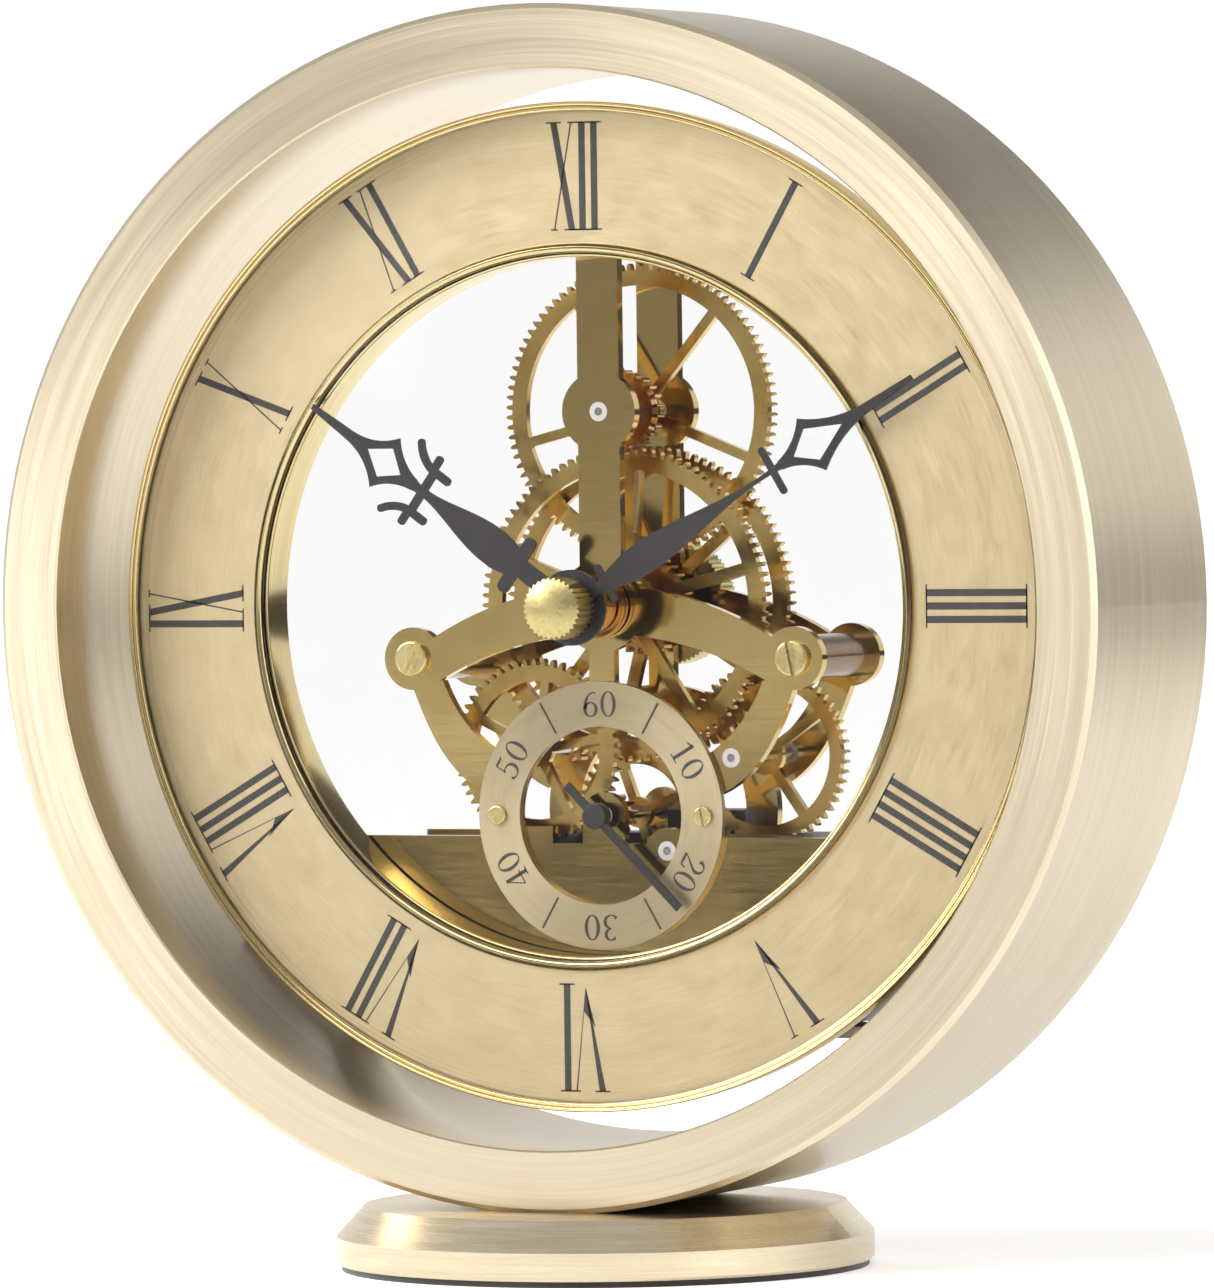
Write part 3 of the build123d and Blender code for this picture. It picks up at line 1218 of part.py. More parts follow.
def make_seconds_hand():
    """Plain baton seconds hand with a counter-tail and a closed round cap over the end of its arbor."""
    tail = 5.7
    reach = 16.7
    width = 1.1
    cap_r = 1.7
    cap_back_y = PLATE_FRONT_Y - 1.3
    with BuildPart() as hand:
        with BuildSketch(facing(SECONDS_HAND_Y, *SECONDS, clockwise=SECONDS_ANGLE)):
            with Locations((0, (reach - tail) / 2)):
                Rectangle(width, reach + tail)
        extrude(amount=HAND_THICKNESS)
        with BuildSketch(facing(cap_back_y, *SECONDS)):
            Circle(cap_r)
        extrude(amount=cap_back_y - SECONDS_CAP_FRONT_Y)
        fillet(hand.faces().sort_by(Axis.Y)[0].edges(), 0.2)
        with BuildSketch(facing(cap_back_y, *SECONDS)):
            Circle(SECONDS_ARBOR_R + FIXED_CLEARANCE)
        extrude(amount=cap_back_y - SECONDS_CAP_FRONT_Y - 0.45, mode=Mode.SUBTRACT)
    finish(hand, "seconds_hand")


make_foot_pad()
make_foot()
make_foot_screws()
make_outer_ring()
make_mounting_bracket()
make_bracket_screws()
make_dial_ring()
make_dial_pan()
make_dial_posts()
make_dial_screws()
make_bezel()
make_inner_trim()
make_glass()
make_front_plate()
make_rear_plate()
make_pivot_bushes()
make_pillars()
make_plate_screws()
make_seconds_dial()
make_module_case()
make_module_cover()
make_motor()
make_circuit_board()
make_battery()
make_seconds_train()
make_third_train()
make_smoothing_train()
make_motor_arbor()
make_motion_train()
make_centre_train()
make_hour_train()
make_setting_knob()
make_hand_nut()
make_hour_hand()
make_minute_hand()
make_seconds_hand()
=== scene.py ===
"""Skeleton clock: materials, numerals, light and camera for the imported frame."""
import json
from math import cos, pi, radians, sin, sqrt

import bpy
from mathutils import Matrix, Vector


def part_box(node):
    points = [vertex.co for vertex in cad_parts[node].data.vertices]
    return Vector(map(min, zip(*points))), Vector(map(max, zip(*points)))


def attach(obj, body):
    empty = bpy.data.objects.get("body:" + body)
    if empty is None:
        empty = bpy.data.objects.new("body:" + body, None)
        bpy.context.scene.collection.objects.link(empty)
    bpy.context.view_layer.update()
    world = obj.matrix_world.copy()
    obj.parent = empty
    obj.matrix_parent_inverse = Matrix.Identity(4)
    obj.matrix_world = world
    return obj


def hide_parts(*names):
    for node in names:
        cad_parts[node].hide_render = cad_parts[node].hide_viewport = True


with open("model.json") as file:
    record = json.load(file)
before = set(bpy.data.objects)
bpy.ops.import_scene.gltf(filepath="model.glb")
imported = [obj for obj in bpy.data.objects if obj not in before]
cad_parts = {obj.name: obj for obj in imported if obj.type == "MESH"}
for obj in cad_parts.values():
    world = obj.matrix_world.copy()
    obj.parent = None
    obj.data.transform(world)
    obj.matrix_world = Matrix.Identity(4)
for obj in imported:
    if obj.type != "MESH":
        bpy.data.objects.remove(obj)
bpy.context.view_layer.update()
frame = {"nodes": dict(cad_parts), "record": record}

MM = 0.001
CREASE = radians(40)  # edges sharper than this stay crisp
NODES = frame["nodes"]


def middle(node):
    """Centre of a CAD node's box."""
    low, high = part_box(node)
    return (low + high) / 2


AXIS = middle("dial_ring")
SECONDS = middle("seconds_dial")

# --- Node helpers -----------------------------------------------------------------------------------


class Nodes:
    """Short calls for building one material's node tree."""

    def __init__(self, name):
        self.material = bpy.data.materials.new(name)
        self.material.use_nodes = True
        self.tree = self.material.node_tree
        self.shader = self.tree.nodes["Principled BSDF"]

    def add(self, kind, settings=None, **inputs):
        """A node; settings are its properties and inputs are values or sockets."""
        node = self.tree.nodes.new(kind)
        for key, value in (settings or {}).items():
            setattr(node, key, value)
        for key, value in inputs.items():
            self.put(node.inputs[int(key[1:]) if key[0] == "i" and key[1:].isdigit() else key], value)
        return node

    def put(self, socket, value):
        """Links or sets one input."""
        if isinstance(value, bpy.types.NodeSocket):
            self.tree.links.new(value, socket)
        else:
            socket.default_value = value

    def math(self, operation, first, second=0.0):
        return self.add("ShaderNodeMath", {"operation": operation}, i0=first, i1=second).outputs[0]

    def scale(self, vector, by):
        return self.add("ShaderNodeVectorMath", {"operation": "MULTIPLY"}, i0=vector, i1=by).outputs[0]

    def place(self, centre=(0, 0, 0)):
        """Object coordinates measured from a centre, in metres."""
        coords = self.add("ShaderNodeTexCoord").outputs["Object"]
        return self.add("ShaderNodeVectorMath", {"operation": "SUBTRACT"}, i0=coords, i1=centre).outputs[0]

    def noise(self, vector, scale, detail=3.0, rough=0.55, w=None):
        kind = "3D" if w is None else "4D"
        node = self.add("ShaderNodeTexNoise", {"noise_dimensions": kind}, Vector=vector, Scale=scale)
        self.put(node.inputs["Detail"], detail)
        self.put(node.inputs["Roughness"], rough)
        if w is not None:
            self.put(node.inputs["W"], w)
        return node.outputs["Fac"]

    def remap(self, value, low, high, to_low, to_high):
        node = self.add("ShaderNodeMapRange", None, Value=value)
        for key, number in zip(("From Min", "From Max", "To Min", "To Max"), (low, high, to_low, to_high)):
            node.inputs[key].default_value = number
        return node.outputs["Result"]

    def blend(self, factor, first, second):
        """Colour mix of two colours or sockets."""
        node = self.add("ShaderNodeMix", {"data_type": "RGBA"})
        self.put(node.inputs[0], factor)
        self.put(node.inputs[6], first)
        self.put(node.inputs[7], second)
        return node.outputs[2]

    def bump(self, height, distance):
        """Surface normal for a height field whose full range is this many metres."""
        node = self.add("ShaderNodeBump", None, Height=height, Strength=1.0, Distance=distance)
        return node.outputs["Normal"]

    def about_axis(self, centre, toward="Y"):
        """Radius, angle's cosine and sine, and height along an axis through the centre."""
        x, y, z = self.add("ShaderNodeSeparateXYZ", None, Vector=self.place(centre)).outputs
        first, second, along = {"X": (y, z, x), "Y": (x, z, y), "Z": (x, y, z)}[toward]
        squares = self.math("ADD", self.math("MULTIPLY", first, first), self.math("MULTIPLY", second, second))
        radius = self.math("SQRT", squares)
        safe = self.math("MAXIMUM", radius, 1e-6)
        return radius, self.math("DIVIDE", first, safe), self.math("DIVIDE", second, safe), along


def tone(red, green, blue):
    """Screen colour (0-255) as linear light."""
    shares = [channel / 255 for channel in (red, green, blue)]
    linear = [share / 12.92 if share <= 0.04045 else ((share + 0.055) / 1.055) ** 2.4 for share in shares]
    return (*linear, 1.0)


# Painted shade: the dark tone that shade bands on turned metal are blended toward.
PAINTED_SHADE = tone(52, 42, 24)
BAND_SOFTNESS = 0.08 * MM


def turned_metal(
    name, centre, colour, deep, rough, toward="Y", line_mm=0.16, arc=2.2, depth=3e-6, aniso=0.0, shade_bands=()
):
    """Metal brushed or turned round an axis: fine lines along the circumference.

    A greater arc makes the lines shorter. Each shade band is (inner radius, outer radius, strength)
    and is darkened toward a painted shade tone that stands in for shadow and dark reflection.
    """
    n = Nodes(name)
    radius, c, s, along = n.about_axis(centre, toward)
    lines = n.add("ShaderNodeCombineXYZ", None, i0=n.math("MULTIPLY", radius, 1 / (line_mm * MM)))
    n.put(lines.inputs[1], n.math("MULTIPLY", c, arc))
    n.put(lines.inputs[2], n.math("MULTIPLY", s, arc))
    along_lines = n.math("MULTIPLY", along, 1 / (line_mm * MM))
    fine = n.noise(lines.outputs[0], 1.0, 4.0, 0.7, along_lines)
    coarse_lines = n.scale(lines.outputs[0], (0.12, 0.9, 0.9))
    broad = n.noise(coarse_lines, 1.0, 2.0, 0.5, n.math("MULTIPLY", along_lines, 0.12))
    cloud = n.noise(n.place(centre), 22.0, 2.0)
    streak = n.math("ADD", n.math("MULTIPLY", fine, 0.65), n.math("MULTIPLY", broad, 0.35))
    shade = n.remap(streak, 0.3, 0.7, 0.0, 1.0)
    base = n.blend(shade, deep, colour)
    base = n.blend(n.remap(cloud, 0.35, 0.7, 0.0, 0.22), base, deep)
    # Painted shade: each band's colour is blended toward the painted shade tone.
    for inner, outer, strength in shade_bands:
        rising = n.remap(radius, inner - BAND_SOFTNESS, inner, 0.0, strength)
        falling = n.remap(radius, outer, outer + BAND_SOFTNESS, 1.0, 0.0)
        base = n.blend(n.math("MULTIPLY", rising, falling), base, PAINTED_SHADE)
    n.put(n.shader.inputs["Base Color"], base)
    n.put(n.shader.inputs["Roughness"], n.remap(streak, 0.3, 0.7, rough * 0.86, rough * 1.16))
    n.put(n.shader.inputs["Normal"], n.bump(fine, depth))
    n.shader.inputs["Metallic"].default_value = 1.0
    n.shader.inputs["Anisotropic"].default_value = aniso
    if aniso:
        tangent = n.add("ShaderNodeTangent", {"direction_type": "RADIAL", "axis": toward})
        n.put(n.shader.inputs["Tangent"], tangent.outputs[0])
    return n.material


def polished_metal(name, colour, deep, rough, grain=(600, 600, 600), cloud_scale=90.0, depth=1.5e-6):
    """Polished metal with faint rolling grain, tarnish clouds and a little unevenness."""
    n = Nodes(name)
    grain_noise = n.noise(n.scale(n.place(), grain), 1.0, 4.0, 0.6)
    cloud = n.noise(n.place(), cloud_scale, 3.0)
    base = n.blend(n.remap(cloud, 0.38, 0.68, 0.0, 1.0), colour, deep)
    n.put(n.shader.inputs["Base Color"], base)
    rolling = n.remap(grain_noise, 0.3, 0.7, rough * 0.75, rough * 1.2)
    wear = n.remap(cloud, 0.4, 0.7, 0.0, 0.05)
    n.put(n.shader.inputs["Roughness"], n.math("ADD", rolling, wear))
    n.put(n.shader.inputs["Normal"], n.bump(grain_noise, depth))
    n.shader.inputs["Metallic"].default_value = 1.0
    return n.material


def moulded(name, colour, lighter, rough, grain_mm=0.25, depth=8e-6, coat=0.0, sheen=0.0):
    """Plastic, paint, felt or resin with a fine grain and slow tonal change."""
    n = Nodes(name)
    grain = n.noise(n.place(), 1 / (grain_mm * MM), 3.0, 0.6)
    cloud = n.noise(n.place(), 60.0, 2.0)
    mixed = n.math("ADD", n.math("MULTIPLY", grain, 0.45), n.math("MULTIPLY", cloud, 0.55))
    n.put(n.shader.inputs["Base Color"], n.blend(n.remap(mixed, 0.35, 0.65, 0.0, 1.0), colour, lighter))
    n.put(n.shader.inputs["Roughness"], n.remap(grain, 0.3, 0.7, rough * 0.88, min(rough * 1.12, 1.0)))
    n.put(n.shader.inputs["Normal"], n.bump(grain, depth))
    n.shader.inputs["Coat Weight"].default_value = coat
    n.shader.inputs["Sheen Weight"].default_value = sheen
    return n.material


def clear_glass(name):
    """Thin clear lens: see-through with a very slight grey tint and a little unevenness."""
    n = Nodes(name)
    smear = n.noise(n.place(), 35.0, 2.0)
    n.put(n.shader.inputs["Roughness"], n.remap(smear, 0.35, 0.7, 0.03, 0.08))
    n.put(n.shader.inputs["Base Color"], n.blend(smear, (0.03, 0.03, 0.035, 1.0), (0.05, 0.05, 0.05, 1.0)))
    n.shader.inputs["Alpha"].default_value = 0.055
    n.shader.inputs["IOR"].default_value = 1.45
    return n.material


# --- Materials --------------------------------------------------------------------------------------
TRIM_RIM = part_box("inner_trim")[1].x - AXIS.x
# Painted shade on the trim: a dark band near the flange's outer edge stands in for dark reflection and
# contact shade by the dial; a thin painted shadow line sits in the groove.
RIM_PAINTED_SHADE = (TRIM_RIM - 0.62 * MM, TRIM_RIM - 0.12 * MM, 0.8)
GROOVE_PAINTED_SHADOW = (TRIM_RIM - 1.42 * MM, TRIM_RIM - 1.28 * MM, 0.9)
ring_metal = turned_metal("ring_brushed", AXIS, tone(228, 215, 190), tone(196, 182, 154), 0.32, aniso=0.55)
foot_metal = turned_metal(
    "foot_turned", middle("foot_disc"), tone(236, 225, 200), tone(200, 184, 154), 0.26, "Z", aniso=0.45
)
dial_metal = turned_metal(
    "dial_brushed", AXIS, tone(214, 197, 160), tone(196, 177, 138), 0.42, line_mm=0.3, arc=14.0, depth=8e-7
)
seconds_metal = turned_metal(
    "seconds_satin", SECONDS, tone(196, 181, 148), tone(176, 160, 126), 0.36, arc=3.0, aniso=0.5
)
bezel_metal = turned_metal("bezel_polished", AXIS, tone(226, 210, 166), tone(196, 178, 130), 0.14, depth=4e-7)
trim_metal = turned_metal(
    "trim_polished",
    AXIS,
    tone(230, 214, 164),
    tone(200, 180, 126),
    0.12,
    depth=4e-7,
    shade_bands=(RIM_PAINTED_SHADE, GROOVE_PAINTED_SHADOW),
)
nut_metal = turned_metal(
    "nut_satin", AXIS, tone(226, 212, 154), tone(176, 158, 98), 0.30, line_mm=0.5, arc=6.0, depth=2e-5
)
plate_metal = polished_metal(
    "plate_brass", tone(214, 188, 126), tone(198, 170, 108), 0.09, (120, 900, 2600), 40.0, 5e-7
)
wheel_metal = polished_metal(
    "wheel_brass", tone(212, 182, 114), tone(184, 152, 88), 0.18, (1500, 900, 1500), depth=8e-7
)
pinion_metal = polished_metal("pinion_brass", tone(200, 156, 92), tone(166, 116, 62), 0.18)
pillar_metal = turned_metal(
    "pillar_turned", middle("plate_pillars"), tone(152, 126, 98), tone(112, 88, 66), 0.20
)
screw_metal = polished_metal(
    "screw_brass", tone(232, 216, 158), tone(196, 174, 112), 0.26, (900, 900, 900), 220.0, 8e-6
)
steel_metal = polished_metal("arbor_steel", tone(196, 194, 190), tone(160, 156, 150), 0.18)
zinc_metal = polished_metal("bracket_zinc", tone(204, 201, 194), tone(176, 173, 166), 0.42, (300, 2500, 2500))
magnet_metal = polished_metal("magnet_grey", tone(96, 96, 100), tone(70, 70, 74), 0.4)
copper_wire = turned_metal(
    "copper_winding", middle("motor_coil"), tone(206, 120, 70), tone(150, 76, 40), 0.32, "X", 0.12, 1.0, 2e-5
)
hand_paint = moulded("hand_paint", tone(25, 22, 21), tone(37, 33, 32), 0.45, 0.12, 3e-6)
print_ink = moulded("print_ink", tone(50, 46, 44), tone(62, 58, 55), 0.55, 0.15, 2e-6)
nylon = moulded("white_nylon", tone(186, 176, 178), tone(204, 197, 196), 0.38, 0.2, 4e-6)
case_plastic = moulded("case_plastic", tone(50, 41, 32), tone(68, 56, 43), 0.4, 0.3, 1.2e-5)
felt = moulded("foot_felt", tone(34, 31, 29), tone(58, 54, 50), 0.95, 0.35, 6e-5, sheen=0.4)
board_green = moulded("board_mask", tone(30, 84, 46), tone(46, 108, 62), 0.3, 0.4, 6e-6, coat=0.5)
epoxy = moulded("chip_resin", tone(18, 18, 18), tone(34, 34, 34), 0.35, 0.5, 2e-5)
cell_wrap = moulded("cell_sleeve", tone(38, 42, 48), tone(52, 57, 64), 0.28, 0.8, 3e-6, coat=0.6)
can_metal = polished_metal("can_nickel", tone(206, 204, 198), tone(176, 174, 168), 0.2)
glass = clear_glass("lens_glass")

FINISH = {
    "ring_metal": ring_metal,
    "foot_metal": foot_metal,
    "felt": felt,
    "dark_steel": zinc_metal,
    "dial_gold": dial_metal,
    "pan_metal": zinc_metal,
    "polished_trim": trim_metal,
    "clear_glass": glass,
    "plate_brass": plate_metal,
    "wheel_brass": wheel_metal,
    "pinion_brass": pinion_metal,
    "pillar_metal": pillar_metal,
    "nylon": nylon,
    "arbor_steel": steel_metal,
    "seconds_satin": seconds_metal,
    "nut_brass": nut_metal,
    "screw_brass": screw_metal,
    "hand_black": hand_paint,
    "case_plastic": case_plastic,
    "copper_winding": copper_wire,
    "magnet": magnet_metal,
    "board_green": board_green,
    "epoxy_black": epoxy,
    "can_steel": can_metal,
    "cell_wrap": cell_wrap,
    "contact_steel": can_metal,
}
EDGE_BREAK = {  # bevel widths in millimetres
    "front_plate": 0.14,
    "rear_plate": 0.14,
    "seconds_dial": 0.08,
    "dial_ring": 0.08,
    "module_case": 0.35,
    "minute_hand": 0.06,
    "hour_hand": 0.06,
    "seconds_hand": 0.06,
    "mounting_bracket": 0.2,
}


def dress(node, slot_name):
    """Gives a CAD node its finish, and a small bevel where its edges catch the light."""
    body = NODES[node]
    body.data.materials.clear()
    body.data.materials.append(FINISH[slot_name])
    if node in EDGE_BREAK:
        bevel = body.modifiers.new("edge_break", "BEVEL")
        bevel.width = EDGE_BREAK[node] * MM
        bevel.segments = 2
        bevel.limit_method = "ANGLE"
        bevel.angle_limit = CREASE
        bevel.harden_normals = False
        bevel.use_clamp_overlap = True


for entry in frame["record"]["subparts"]:
    dress(entry["node"], entry["material_slot"])


# --- Bezel and trim, turned finely ------------------------------------------------------------------
def arc(radius, y, reach, start, end, steps=12):
    """Points of a profile along part of a circle; zero degrees is outward and ninety is toward the front."""
    turns = [radians(start + (end - start) * step / steps) for step in range(steps + 1)]
    return [(radius + reach * cos(turn), y - reach * sin(turn)) for turn in turns]


def lathe(name, profile, node, material, steps=360):
    """Closed (radius, y) profile in metres, swept round the hand axis in place of a CAD node."""
    count = len(profile)
    vertices = []
    faces = []
    for step in range(steps):
        turn = 2 * pi * step / steps
        following = (step + 1) % steps * count
        for i, (radius, y) in enumerate(profile):
            j = (i + 1) % count
            vertices.append((AXIS.x + radius * cos(turn), y, AXIS.z + radius * sin(turn)))
            faces.append((step * count + i, step * count + j, following + j, following + i))
    mesh = bpy.data.meshes.new(name)
    mesh.from_pydata(vertices, [], faces)
    mesh.polygons.foreach_set("use_smooth", [True] * len(faces))
    mesh.set_sharp_from_angle(angle=CREASE)
    mesh.materials.append(material)
    piece = bpy.data.objects.new(name, mesh)
    bpy.context.scene.collection.objects.link(piece)
    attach(piece, "root")
    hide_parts(node)


def turn_bezel():
    """Two fine beads on a thin wall round the dial."""
    low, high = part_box("dial_bezel")
    rim = (high.x - low.x) / 2
    bead = 0.3 * MM
    wall = 0.8 * MM
    crest = low.y + bead
    profile = [(rim - wall, high.y), (rim, high.y)]
    profile += arc(rim - bead, crest, bead, 0, 170)
    profile += arc(rim - 3 * bead, crest, bead, 10, 180)
    profile += [(rim - 4 * bead, crest + bead), (rim - wall, crest + bead)]
    lathe("bezel_beads", profile, "dial_bezel", bezel_metal)


def turn_trim():
    """Rounded flange on the dial, a groove whose dark line is painted shadow in the trim material, a second
    bead and the tube behind it.
    """
    low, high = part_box("inner_trim")
    rim = (high.x - low.x) / 2
    dial_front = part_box("dial_ring")[0].y
    flange = (dial_front - low.y) * 0.96
    lip = 0.6 * MM
    tube_outer = rim - 1.15 * MM
    groove = rim - 1.35 * MM
    bore = rim - 1.8 * MM
    bead = 0.3 * MM
    profile = [(bore, high.y), (tube_outer, high.y), (tube_outer, dial_front), (rim, dial_front)]
    profile += [(rim - 0.06 * MM, dial_front - 0.3 * MM)]
    profile += arc(rim - 1.2 * lip, dial_front - flange + lip, lip, 35, 165)
    profile += [(groove + 0.01 * MM, dial_front - 0.1 * MM), (groove - 0.01 * MM, dial_front + 0.25 * MM)]
    profile += arc(bore + bead, dial_front + 0.55 * MM, bead, 60, 180)
    lathe("trim_steps", profile, "inner_trim", trim_metal)


turn_bezel()
turn_trim()


# --- Printed numerals -------------------------------------------------------------------------------
class Print:
    """Flat ink laid on a face: closed outlines in (across, up), turned and placed about a centre."""

    def __init__(self, name, centre, face_y, thickness):
        self.name = name
        self.centre = centre
        self.face_y = face_y
        self.thickness = thickness
        self.vertices = []
        self.faces = []

    def outline(self, points, clockwise, radius):
        """Adds one convex outline, with its (0, 0) at a radius and clockwise angle from twelve."""
        angle = radians(clockwise)
        start = len(self.vertices)
        for y in (self.face_y - self.thickness, self.face_y + self.thickness / 4):
            for across, up in points:
                out = radius + up
                x = out * sin(angle) + across * cos(angle)
                z = out * cos(angle) - across * sin(angle)
                self.vertices.append((self.centre.x + x * MM, y, self.centre.z + z * MM))
        count = len(points)
        self.faces.append([start + i for i in range(count)])
        self.faces.append([start + count + i for i in reversed(range(count))])
        for i in range(count):
            j = (i + 1) % count
            self.faces.append([start + i, start + count + i, start + count + j, start + j])

    def build(self, material):
        mesh = bpy.data.meshes.new(self.name)
        mesh.from_pydata(self.vertices, [], self.faces)
        mesh.update()
        piece = bpy.data.objects.new(self.name, mesh)
        bpy.context.scene.collection.objects.link(piece)
        mesh.materials.append(material)
        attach(piece, "root")


# Hour numerals, in millimetres.
NUMERAL_HEIGHT = 14.0
NUMERAL_INNER = 48.6
THICK = 0.92
THIN = 0.2
SERIF_REACH = 0.62
THIN_SERIF = 0.45  # share of the full serif, on a thin stroke
STEM_PITCH = 1.7
X_WIDTH = 2.5
V_WIDTH = 3.7
V_APEX = 0.62  # share of the letter's width
V_FOOT = 0.5
HOUR_INK = 0.02 * MM


def bar(ink, start, end, width_start, width_end, hour):
    """One straight stroke whose ends are level, from the inner to the outer edge."""
    corners = (
        (start[0] - width_start / 2, start[1]),
        (start[0] + width_start / 2, start[1]),
        (end[0] + width_end / 2, end[1]),
        (end[0] - width_end / 2, end[1]),
    )
    ink.outline(corners, hour * 30, NUMERAL_INNER)


def serif(ink, across, level, half, hour):
    """Hairline serif centred on a stroke's end."""
    step = THIN if level == 0 else -THIN
    low, high = sorted((level, level + step))
    corners = ((across - half, low), (across + half, low), (across + half, high), (across - half, high))
    ink.outline(corners, hour * 30, NUMERAL_INNER)


def letter_width(letter):
    return {"I": 0.0, "X": X_WIDTH, "V": V_WIDTH}[letter]


def letter_gap(left, right):
    """Clear step between the reference lines of two neighbouring letters."""
    if left == "I" and right == "I":
        return STEM_PITCH
    return 1.25 if left == "V" else 1.5


def add_letter(ink, letter, left, hour):
    """Draws one letter whose left reference line is at this distance across."""
    top = NUMERAL_HEIGHT
    right = left + letter_width(letter)
    half = THICK / 2 + SERIF_REACH
    if letter == "I":
        bar(ink, (left, 0), (left, top), THICK, THICK, hour)
        serif(ink, left, 0, half, hour)
        serif(ink, left, top, half, hour)
    if letter == "X":
        bar(ink, (right, 0), (left, top), THICK, THICK, hour)
        bar(ink, (left, 0), (right, top), THIN, THIN, hour)
        serif(ink, right, 0, half, hour)
        serif(ink, left, top, half, hour)
        serif(ink, left, 0, half * THIN_SERIF, hour)
        serif(ink, right, top, half * THIN_SERIF, hour)
    if letter == "V":
        apex = left + V_WIDTH * V_APEX
        bar(ink, (apex, V_FOOT), (left, top), 0.05, THICK, hour)
        bar(ink, (apex, V_FOOT), (right, top), 0.05, THIN, hour)
        wedge = ((-0.02, V_FOOT), (0.02, V_FOOT), (0.28, 3.6), (-1.35, 5.6), (-0.62, 3.0))
        ink.outline([(apex + across, up) for across, up in wedge], hour * 30, NUMERAL_INNER)
        serif(ink, left, top, half, hour)
        serif(ink, right, top, half * 0.5, hour)


def print_hour_numerals():
    """Roman numerals round the dial, their feet toward the centre."""
    face_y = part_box("dial_ring")[0].y
    ink = Print("hour_numerals", AXIS, face_y, HOUR_INK)
    words = ("I", "II", "III", "IIII", "V", "VI", "VII", "VIII", "IX", "X", "XI", "XII")
    for hour, word in enumerate(words, 1):
        lefts = [0.0]
        for left, right in zip(word, word[1:]):
            lefts.append(lefts[-1] + letter_width(left) + letter_gap(left, right))
        width = lefts[-1] + letter_width(word[-1])
        for letter, left in zip(word, lefts):
            add_letter(ink, letter, left - width / 2, hour)
    ink.build(print_ink)


# Seconds scale, in millimetres; spacing and inset are shares of the height, breadth of the drawn width.
DIGIT_HEIGHT = 3.4
DIGIT_SPACING = 0.74
DIGIT_BREADTH = 1.28
DIGIT_INSET = 0.07
SCALE_RADIUS = 14.5
TICK_INNER, TICK_OUTER, TICK_HALF = -2.2, 2.4, 0.15
SCALE_INK = 0.015 * MM

# Digits as brush paths on a box one unit high: (across, up, stroke width) along each stroke.
HAIR, FULL = 0.045, 0.14


def ring_path(cx, cy, rx, ry, start=0.0, sweep=2 * pi, steps=24):
    """Points along an oval, thick at its sides and thin at top and bottom."""
    path = []
    for step in range(steps + 1):
        t = start + sweep * step / steps
        width = HAIR + (FULL - HAIR) * abs(cos(t)) ** 1.6
        path.append((cx + rx * cos(t), cy + ry * sin(t), width))
    return path


DIGITS = {
    "0": [ring_path(0.25, 0.5, 0.2, 0.47)],
    "1": [
        [(0.25, 0.98, FULL), (0.25, 0.0, FULL)],
        [(0.06, 0.82, HAIR), (0.17, 0.88, 0.06), (0.25, 0.96, 0.06)],
        [(0.08, 0.015, HAIR), (0.42, 0.015, HAIR)],
    ],
    "2": [
        ring_path(0.24, 0.73, 0.18, 0.245, pi, -1.15 * pi, 14)
        + [(0.33, 0.5, 0.09), (0.18, 0.27, 0.06), (0.06, 0.06, 0.04)],
        [(0.05, 0.05, 0.09), (0.3, 0.05, 0.1), (0.43, 0.06, 0.06), (0.46, 0.26, HAIR)],
        [(0.08, 0.7, 0.1), (0.1, 0.76, 0.1)],
    ],
    "3": [
        ring_path(0.21, 0.76, 0.17, 0.215, 0.8 * pi, -1.3 * pi, 14),
        ring_path(0.2, 0.28, 0.21, 0.255, 0.5 * pi, -1.3 * pi, 16),
        [(0.07, 0.86, 0.09), (0.1, 0.89, 0.09)],
        [(0.05, 0.16, 0.1), (0.08, 0.13, 0.1)],
    ],
    "4": [
        [(0.34, 0.98, FULL), (0.34, 0.0, FULL)],
        [(0.34, 0.97, HAIR), (0.02, 0.3, HAIR)],
        [(0.02, 0.29, 0.05), (0.48, 0.29, 0.05)],
        [(0.2, 0.015, HAIR), (0.48, 0.015, HAIR)],
    ],
    "5": [
        [(0.1, 0.94, 0.1), (0.3, 0.93, 0.1), (0.42, 0.97, 0.04)],
        [(0.09, 0.95, HAIR), (0.08, 0.5, HAIR)],
        ring_path(0.2, 0.31, 0.22, 0.28, 0.72 * pi, -1.5 * pi, 18),
        [(0.04, 0.16, 0.1), (0.07, 0.13, 0.1)],
    ],
    "6": [
        ring_path(0.25, 0.29, 0.19, 0.265),
        [(0.07, 0.3, FULL), (0.08, 0.55, FULL), (0.17, 0.82, 0.07), (0.33, 0.95, 0.05), (0.41, 0.9, 0.07)],
    ],
}


def brush(ink, path, size, offset, clockwise, radius):
    """Lays short overlapping quads along a brush path."""
    for (ax, ay, aw), (bx, by, bw) in zip(path, path[1:]):
        length = max(sqrt((bx - ax) ** 2 + (by - ay) ** 2), 1e-6)
        nx, ny = -(by - ay) / length, (bx - ax) / length
        quad = (
            (ax + nx * aw / 2, ay + ny * aw / 2),
            (ax - nx * aw / 2, ay - ny * aw / 2),
            (bx - nx * bw / 2, by - ny * bw / 2),
            (bx + nx * bw / 2, by + ny * bw / 2),
        )
        ink.outline([(offset + x * size, (y - 0.5) * size) for x, y in quad], clockwise, radius)


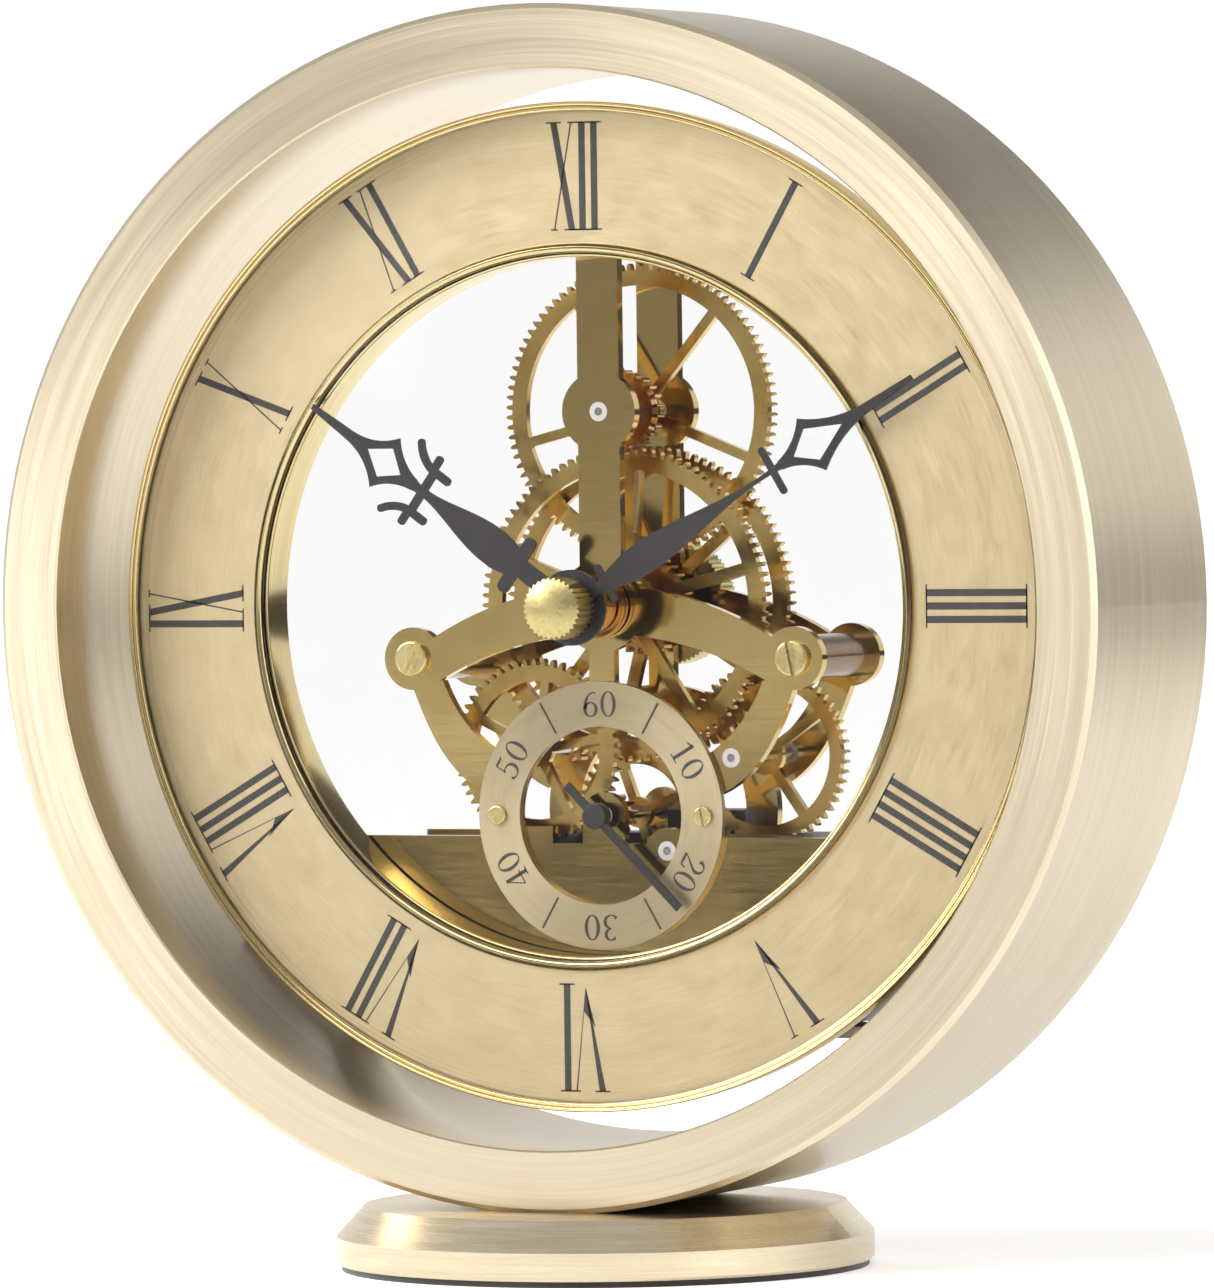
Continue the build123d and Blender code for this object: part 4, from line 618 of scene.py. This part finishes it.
def print_seconds_scale():
    """Tens of seconds and the four short marks on the seconds dial."""
    face_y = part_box("seconds_dial")[0].y
    ink = Print("seconds_scale", SECONDS, face_y, SCALE_INK)
    for tens in range(1, 7):
        for place, digit in enumerate(f"{tens * 10}"):
            offset = (place - 1) * DIGIT_SPACING * DIGIT_HEIGHT + DIGIT_INSET * DIGIT_HEIGHT
            for path in DIGITS[digit]:
                wide = [(x * DIGIT_BREADTH, y, width) for x, y, width in path]
                brush(ink, wide, DIGIT_HEIGHT, offset, tens * 60, SCALE_RADIUS)
    left, right = -TICK_HALF, TICK_HALF
    tick = ((left, TICK_INNER), (right, TICK_INNER), (right, TICK_OUTER), (left, TICK_OUTER))
    for angle in (30, 150, 210, 330):
        ink.outline(tick, angle, SCALE_RADIUS)
    ink.build(print_ink)


print_hour_numerals()
print_seconds_scale()


# --- Floor, light and camera ------------------------------------------------------------------------
PAPER_GLOW = 0.36
STUDIO_STRENGTH = 0.86
FRONT_GREY, BACK_WHITE = (0.39, 0.38, 0.37, 1), (1.0, 1.0, 1.0, 1)


def paper():
    """Pale seamless paper."""
    n = Nodes("pale_paper")
    fibre = n.noise(n.place(), 400.0, 3.0)
    mottle = n.remap(fibre, 0.3, 0.7, 0.0, 1.0)
    n.put(n.shader.inputs["Base Color"], n.blend(mottle, (0.86, 0.86, 0.86, 1), (0.89, 0.89, 0.89, 1)))
    n.shader.inputs["Roughness"].default_value = 0.9
    n.shader.inputs["Specular IOR Level"].default_value = 0.1
    n.shader.inputs["Emission Color"].default_value = (1.0, 1.0, 1.0, 1.0)
    n.shader.inputs["Emission Strength"].default_value = PAPER_GLOW
    return n.material


def make_sweep():
    """Seamless sweep: a floor that curves up into a backdrop."""
    half, back, bend, height, steps = 4.0, 2.2, 0.8, 3.2, 16
    profile = [(-half, 0.0), (back - bend, 0.0)]
    for step in range(1, steps + 1):
        turn = pi / 2 * step / steps
        profile.append((back - bend + bend * sin(turn), bend - bend * cos(turn)))
    profile.append((back, height))
    vertices = [(side * half, y, z) for y, z in profile for side in (-1, 1)]
    faces = [(2 * i, 2 * i + 1, 2 * i + 3, 2 * i + 2) for i in range(len(profile) - 1)]
    mesh = bpy.data.meshes.new("sweep")
    mesh.from_pydata(vertices, [], faces)
    for polygon in mesh.polygons:
        polygon.use_smooth = True
    mesh.materials.append(paper())
    sweep = bpy.data.objects.new("sweep", mesh)
    bpy.context.scene.collection.objects.link(sweep)


def flag(name, start, end, low, high, colour):
    """Upright card seen only in reflections; start and end are its two feet (x, y)."""
    corners = [(*start, low), (*end, low), (*end, high), (*start, high)]
    mesh = bpy.data.meshes.new(name)
    mesh.from_pydata(corners, [], [(0, 1, 2, 3)])
    mesh.materials.append(moulded(name, colour, colour, 0.95))
    card = bpy.data.objects.new(name, mesh)
    bpy.context.scene.collection.objects.link(card)
    card.visible_camera = False
    card.visible_diffuse = False
    card.visible_transmission = False
    card.visible_shadow = False


def softbox(name, place, width, height, power):
    """Rectangular area light aimed at the middle of the clock."""
    light = bpy.data.lights.new(name, "AREA")
    light.shape = "RECTANGLE"
    light.size, light.size_y = width, height
    light.energy = power
    lamp = bpy.data.objects.new(name, light)
    lamp.location = place
    lamp.rotation_euler = (TARGET - Vector(place)).to_track_quat("-Z", "Y").to_euler()
    bpy.context.scene.collection.objects.link(lamp)


def light_world():
    """Soft grey-white surroundings: bright behind the clock and darker in front of it."""
    world = bpy.data.worlds.new("studio")
    bpy.context.scene.world = world
    world.use_nodes = True
    tree = world.node_tree
    background = tree.nodes["Background"]
    coords = tree.nodes.new("ShaderNodeTexCoord")
    split = tree.nodes.new("ShaderNodeSeparateXYZ")
    tree.links.new(coords.outputs["Generated"], split.inputs[0])
    ramp = tree.nodes.new("ShaderNodeValToRGB")
    ramp.color_ramp.elements[0].color = FRONT_GREY
    ramp.color_ramp.elements[1].color = BACK_WHITE
    shift = tree.nodes.new("ShaderNodeMapRange")
    shift.inputs["From Min"].default_value = -1.0
    shift.inputs["From Max"].default_value = 0.9
    tree.links.new(split.outputs[1], shift.inputs["Value"])
    tree.links.new(shift.outputs["Result"], ramp.inputs["Fac"])
    tree.links.new(ramp.outputs["Color"], background.inputs["Color"])
    background.inputs["Strength"].default_value = STUDIO_STRENGTH


TARGET = Vector((0.0, 0.0, 0.082))
AZIMUTH, ELEVATION, ROLL = radians(25.1), radians(1.3), radians(0.74)
DISTANCE = 1.338
LENS = 288.8
PAN, TILT = radians(-0.05), radians(-0.06)


def make_camera():
    """Long lens, a little to the right of the dial and just above it."""
    back = Vector((sin(AZIMUTH) * cos(ELEVATION), -cos(AZIMUTH) * cos(ELEVATION), sin(ELEVATION)))
    forward = -back
    right = Vector((cos(AZIMUTH), sin(AZIMUTH), 0))
    up = right.cross(forward)
    turn = Matrix.Rotation(PAN, 3, up)
    forward, right = turn @ forward, turn @ right
    turn = Matrix.Rotation(TILT, 3, right)
    forward, up = turn @ forward, turn @ up
    turn = Matrix.Rotation(ROLL, 3, forward)
    right, up = turn @ right, turn @ up
    data = bpy.data.cameras.new("camera")
    data.lens = LENS
    data.clip_end = 20.0
    camera = bpy.data.objects.new("camera", data)
    turned = Matrix((right, up, -forward)).transposed().to_4x4()
    camera.matrix_world = Matrix.Translation(TARGET + back * DISTANCE) @ turned
    bpy.context.scene.collection.objects.link(camera)
    bpy.context.scene.camera = camera


make_sweep()
light_world()
flag("upper_flag", (-1.6, 1.35), (1.6, 1.35), 0.64, 2.0, tone(76, 72, 64))
flag("side_flag", (0.25, 1.25), (1.6, 1.25), 0.0, 0.17, tone(66, 62, 56))
flag("left_flag", (-1.3, -0.4), (-0.95, -1.0), 0.0, 0.35, tone(60, 56, 50))
flag("front_flag", (-0.54, -0.45), (0.02, -0.72), 0.0, 0.036, tone(50, 46, 38))
flag("right_flag", (1.3, -0.15), (1.15, 0.6), 0.0, 0.4, tone(60, 56, 50))
softbox("key_left", (-0.68, -0.55, 0.52), 0.6, 0.55, 8.8)
softbox("fill_right", (1.6, -0.5, 0.7), 0.8, 1.4, 7)
softbox("top_front", (-0.55, -1.2, 1.15), 1.3, 0.7, 14)
make_camera()
bpy.context.scene.view_settings.view_transform = "Standard"
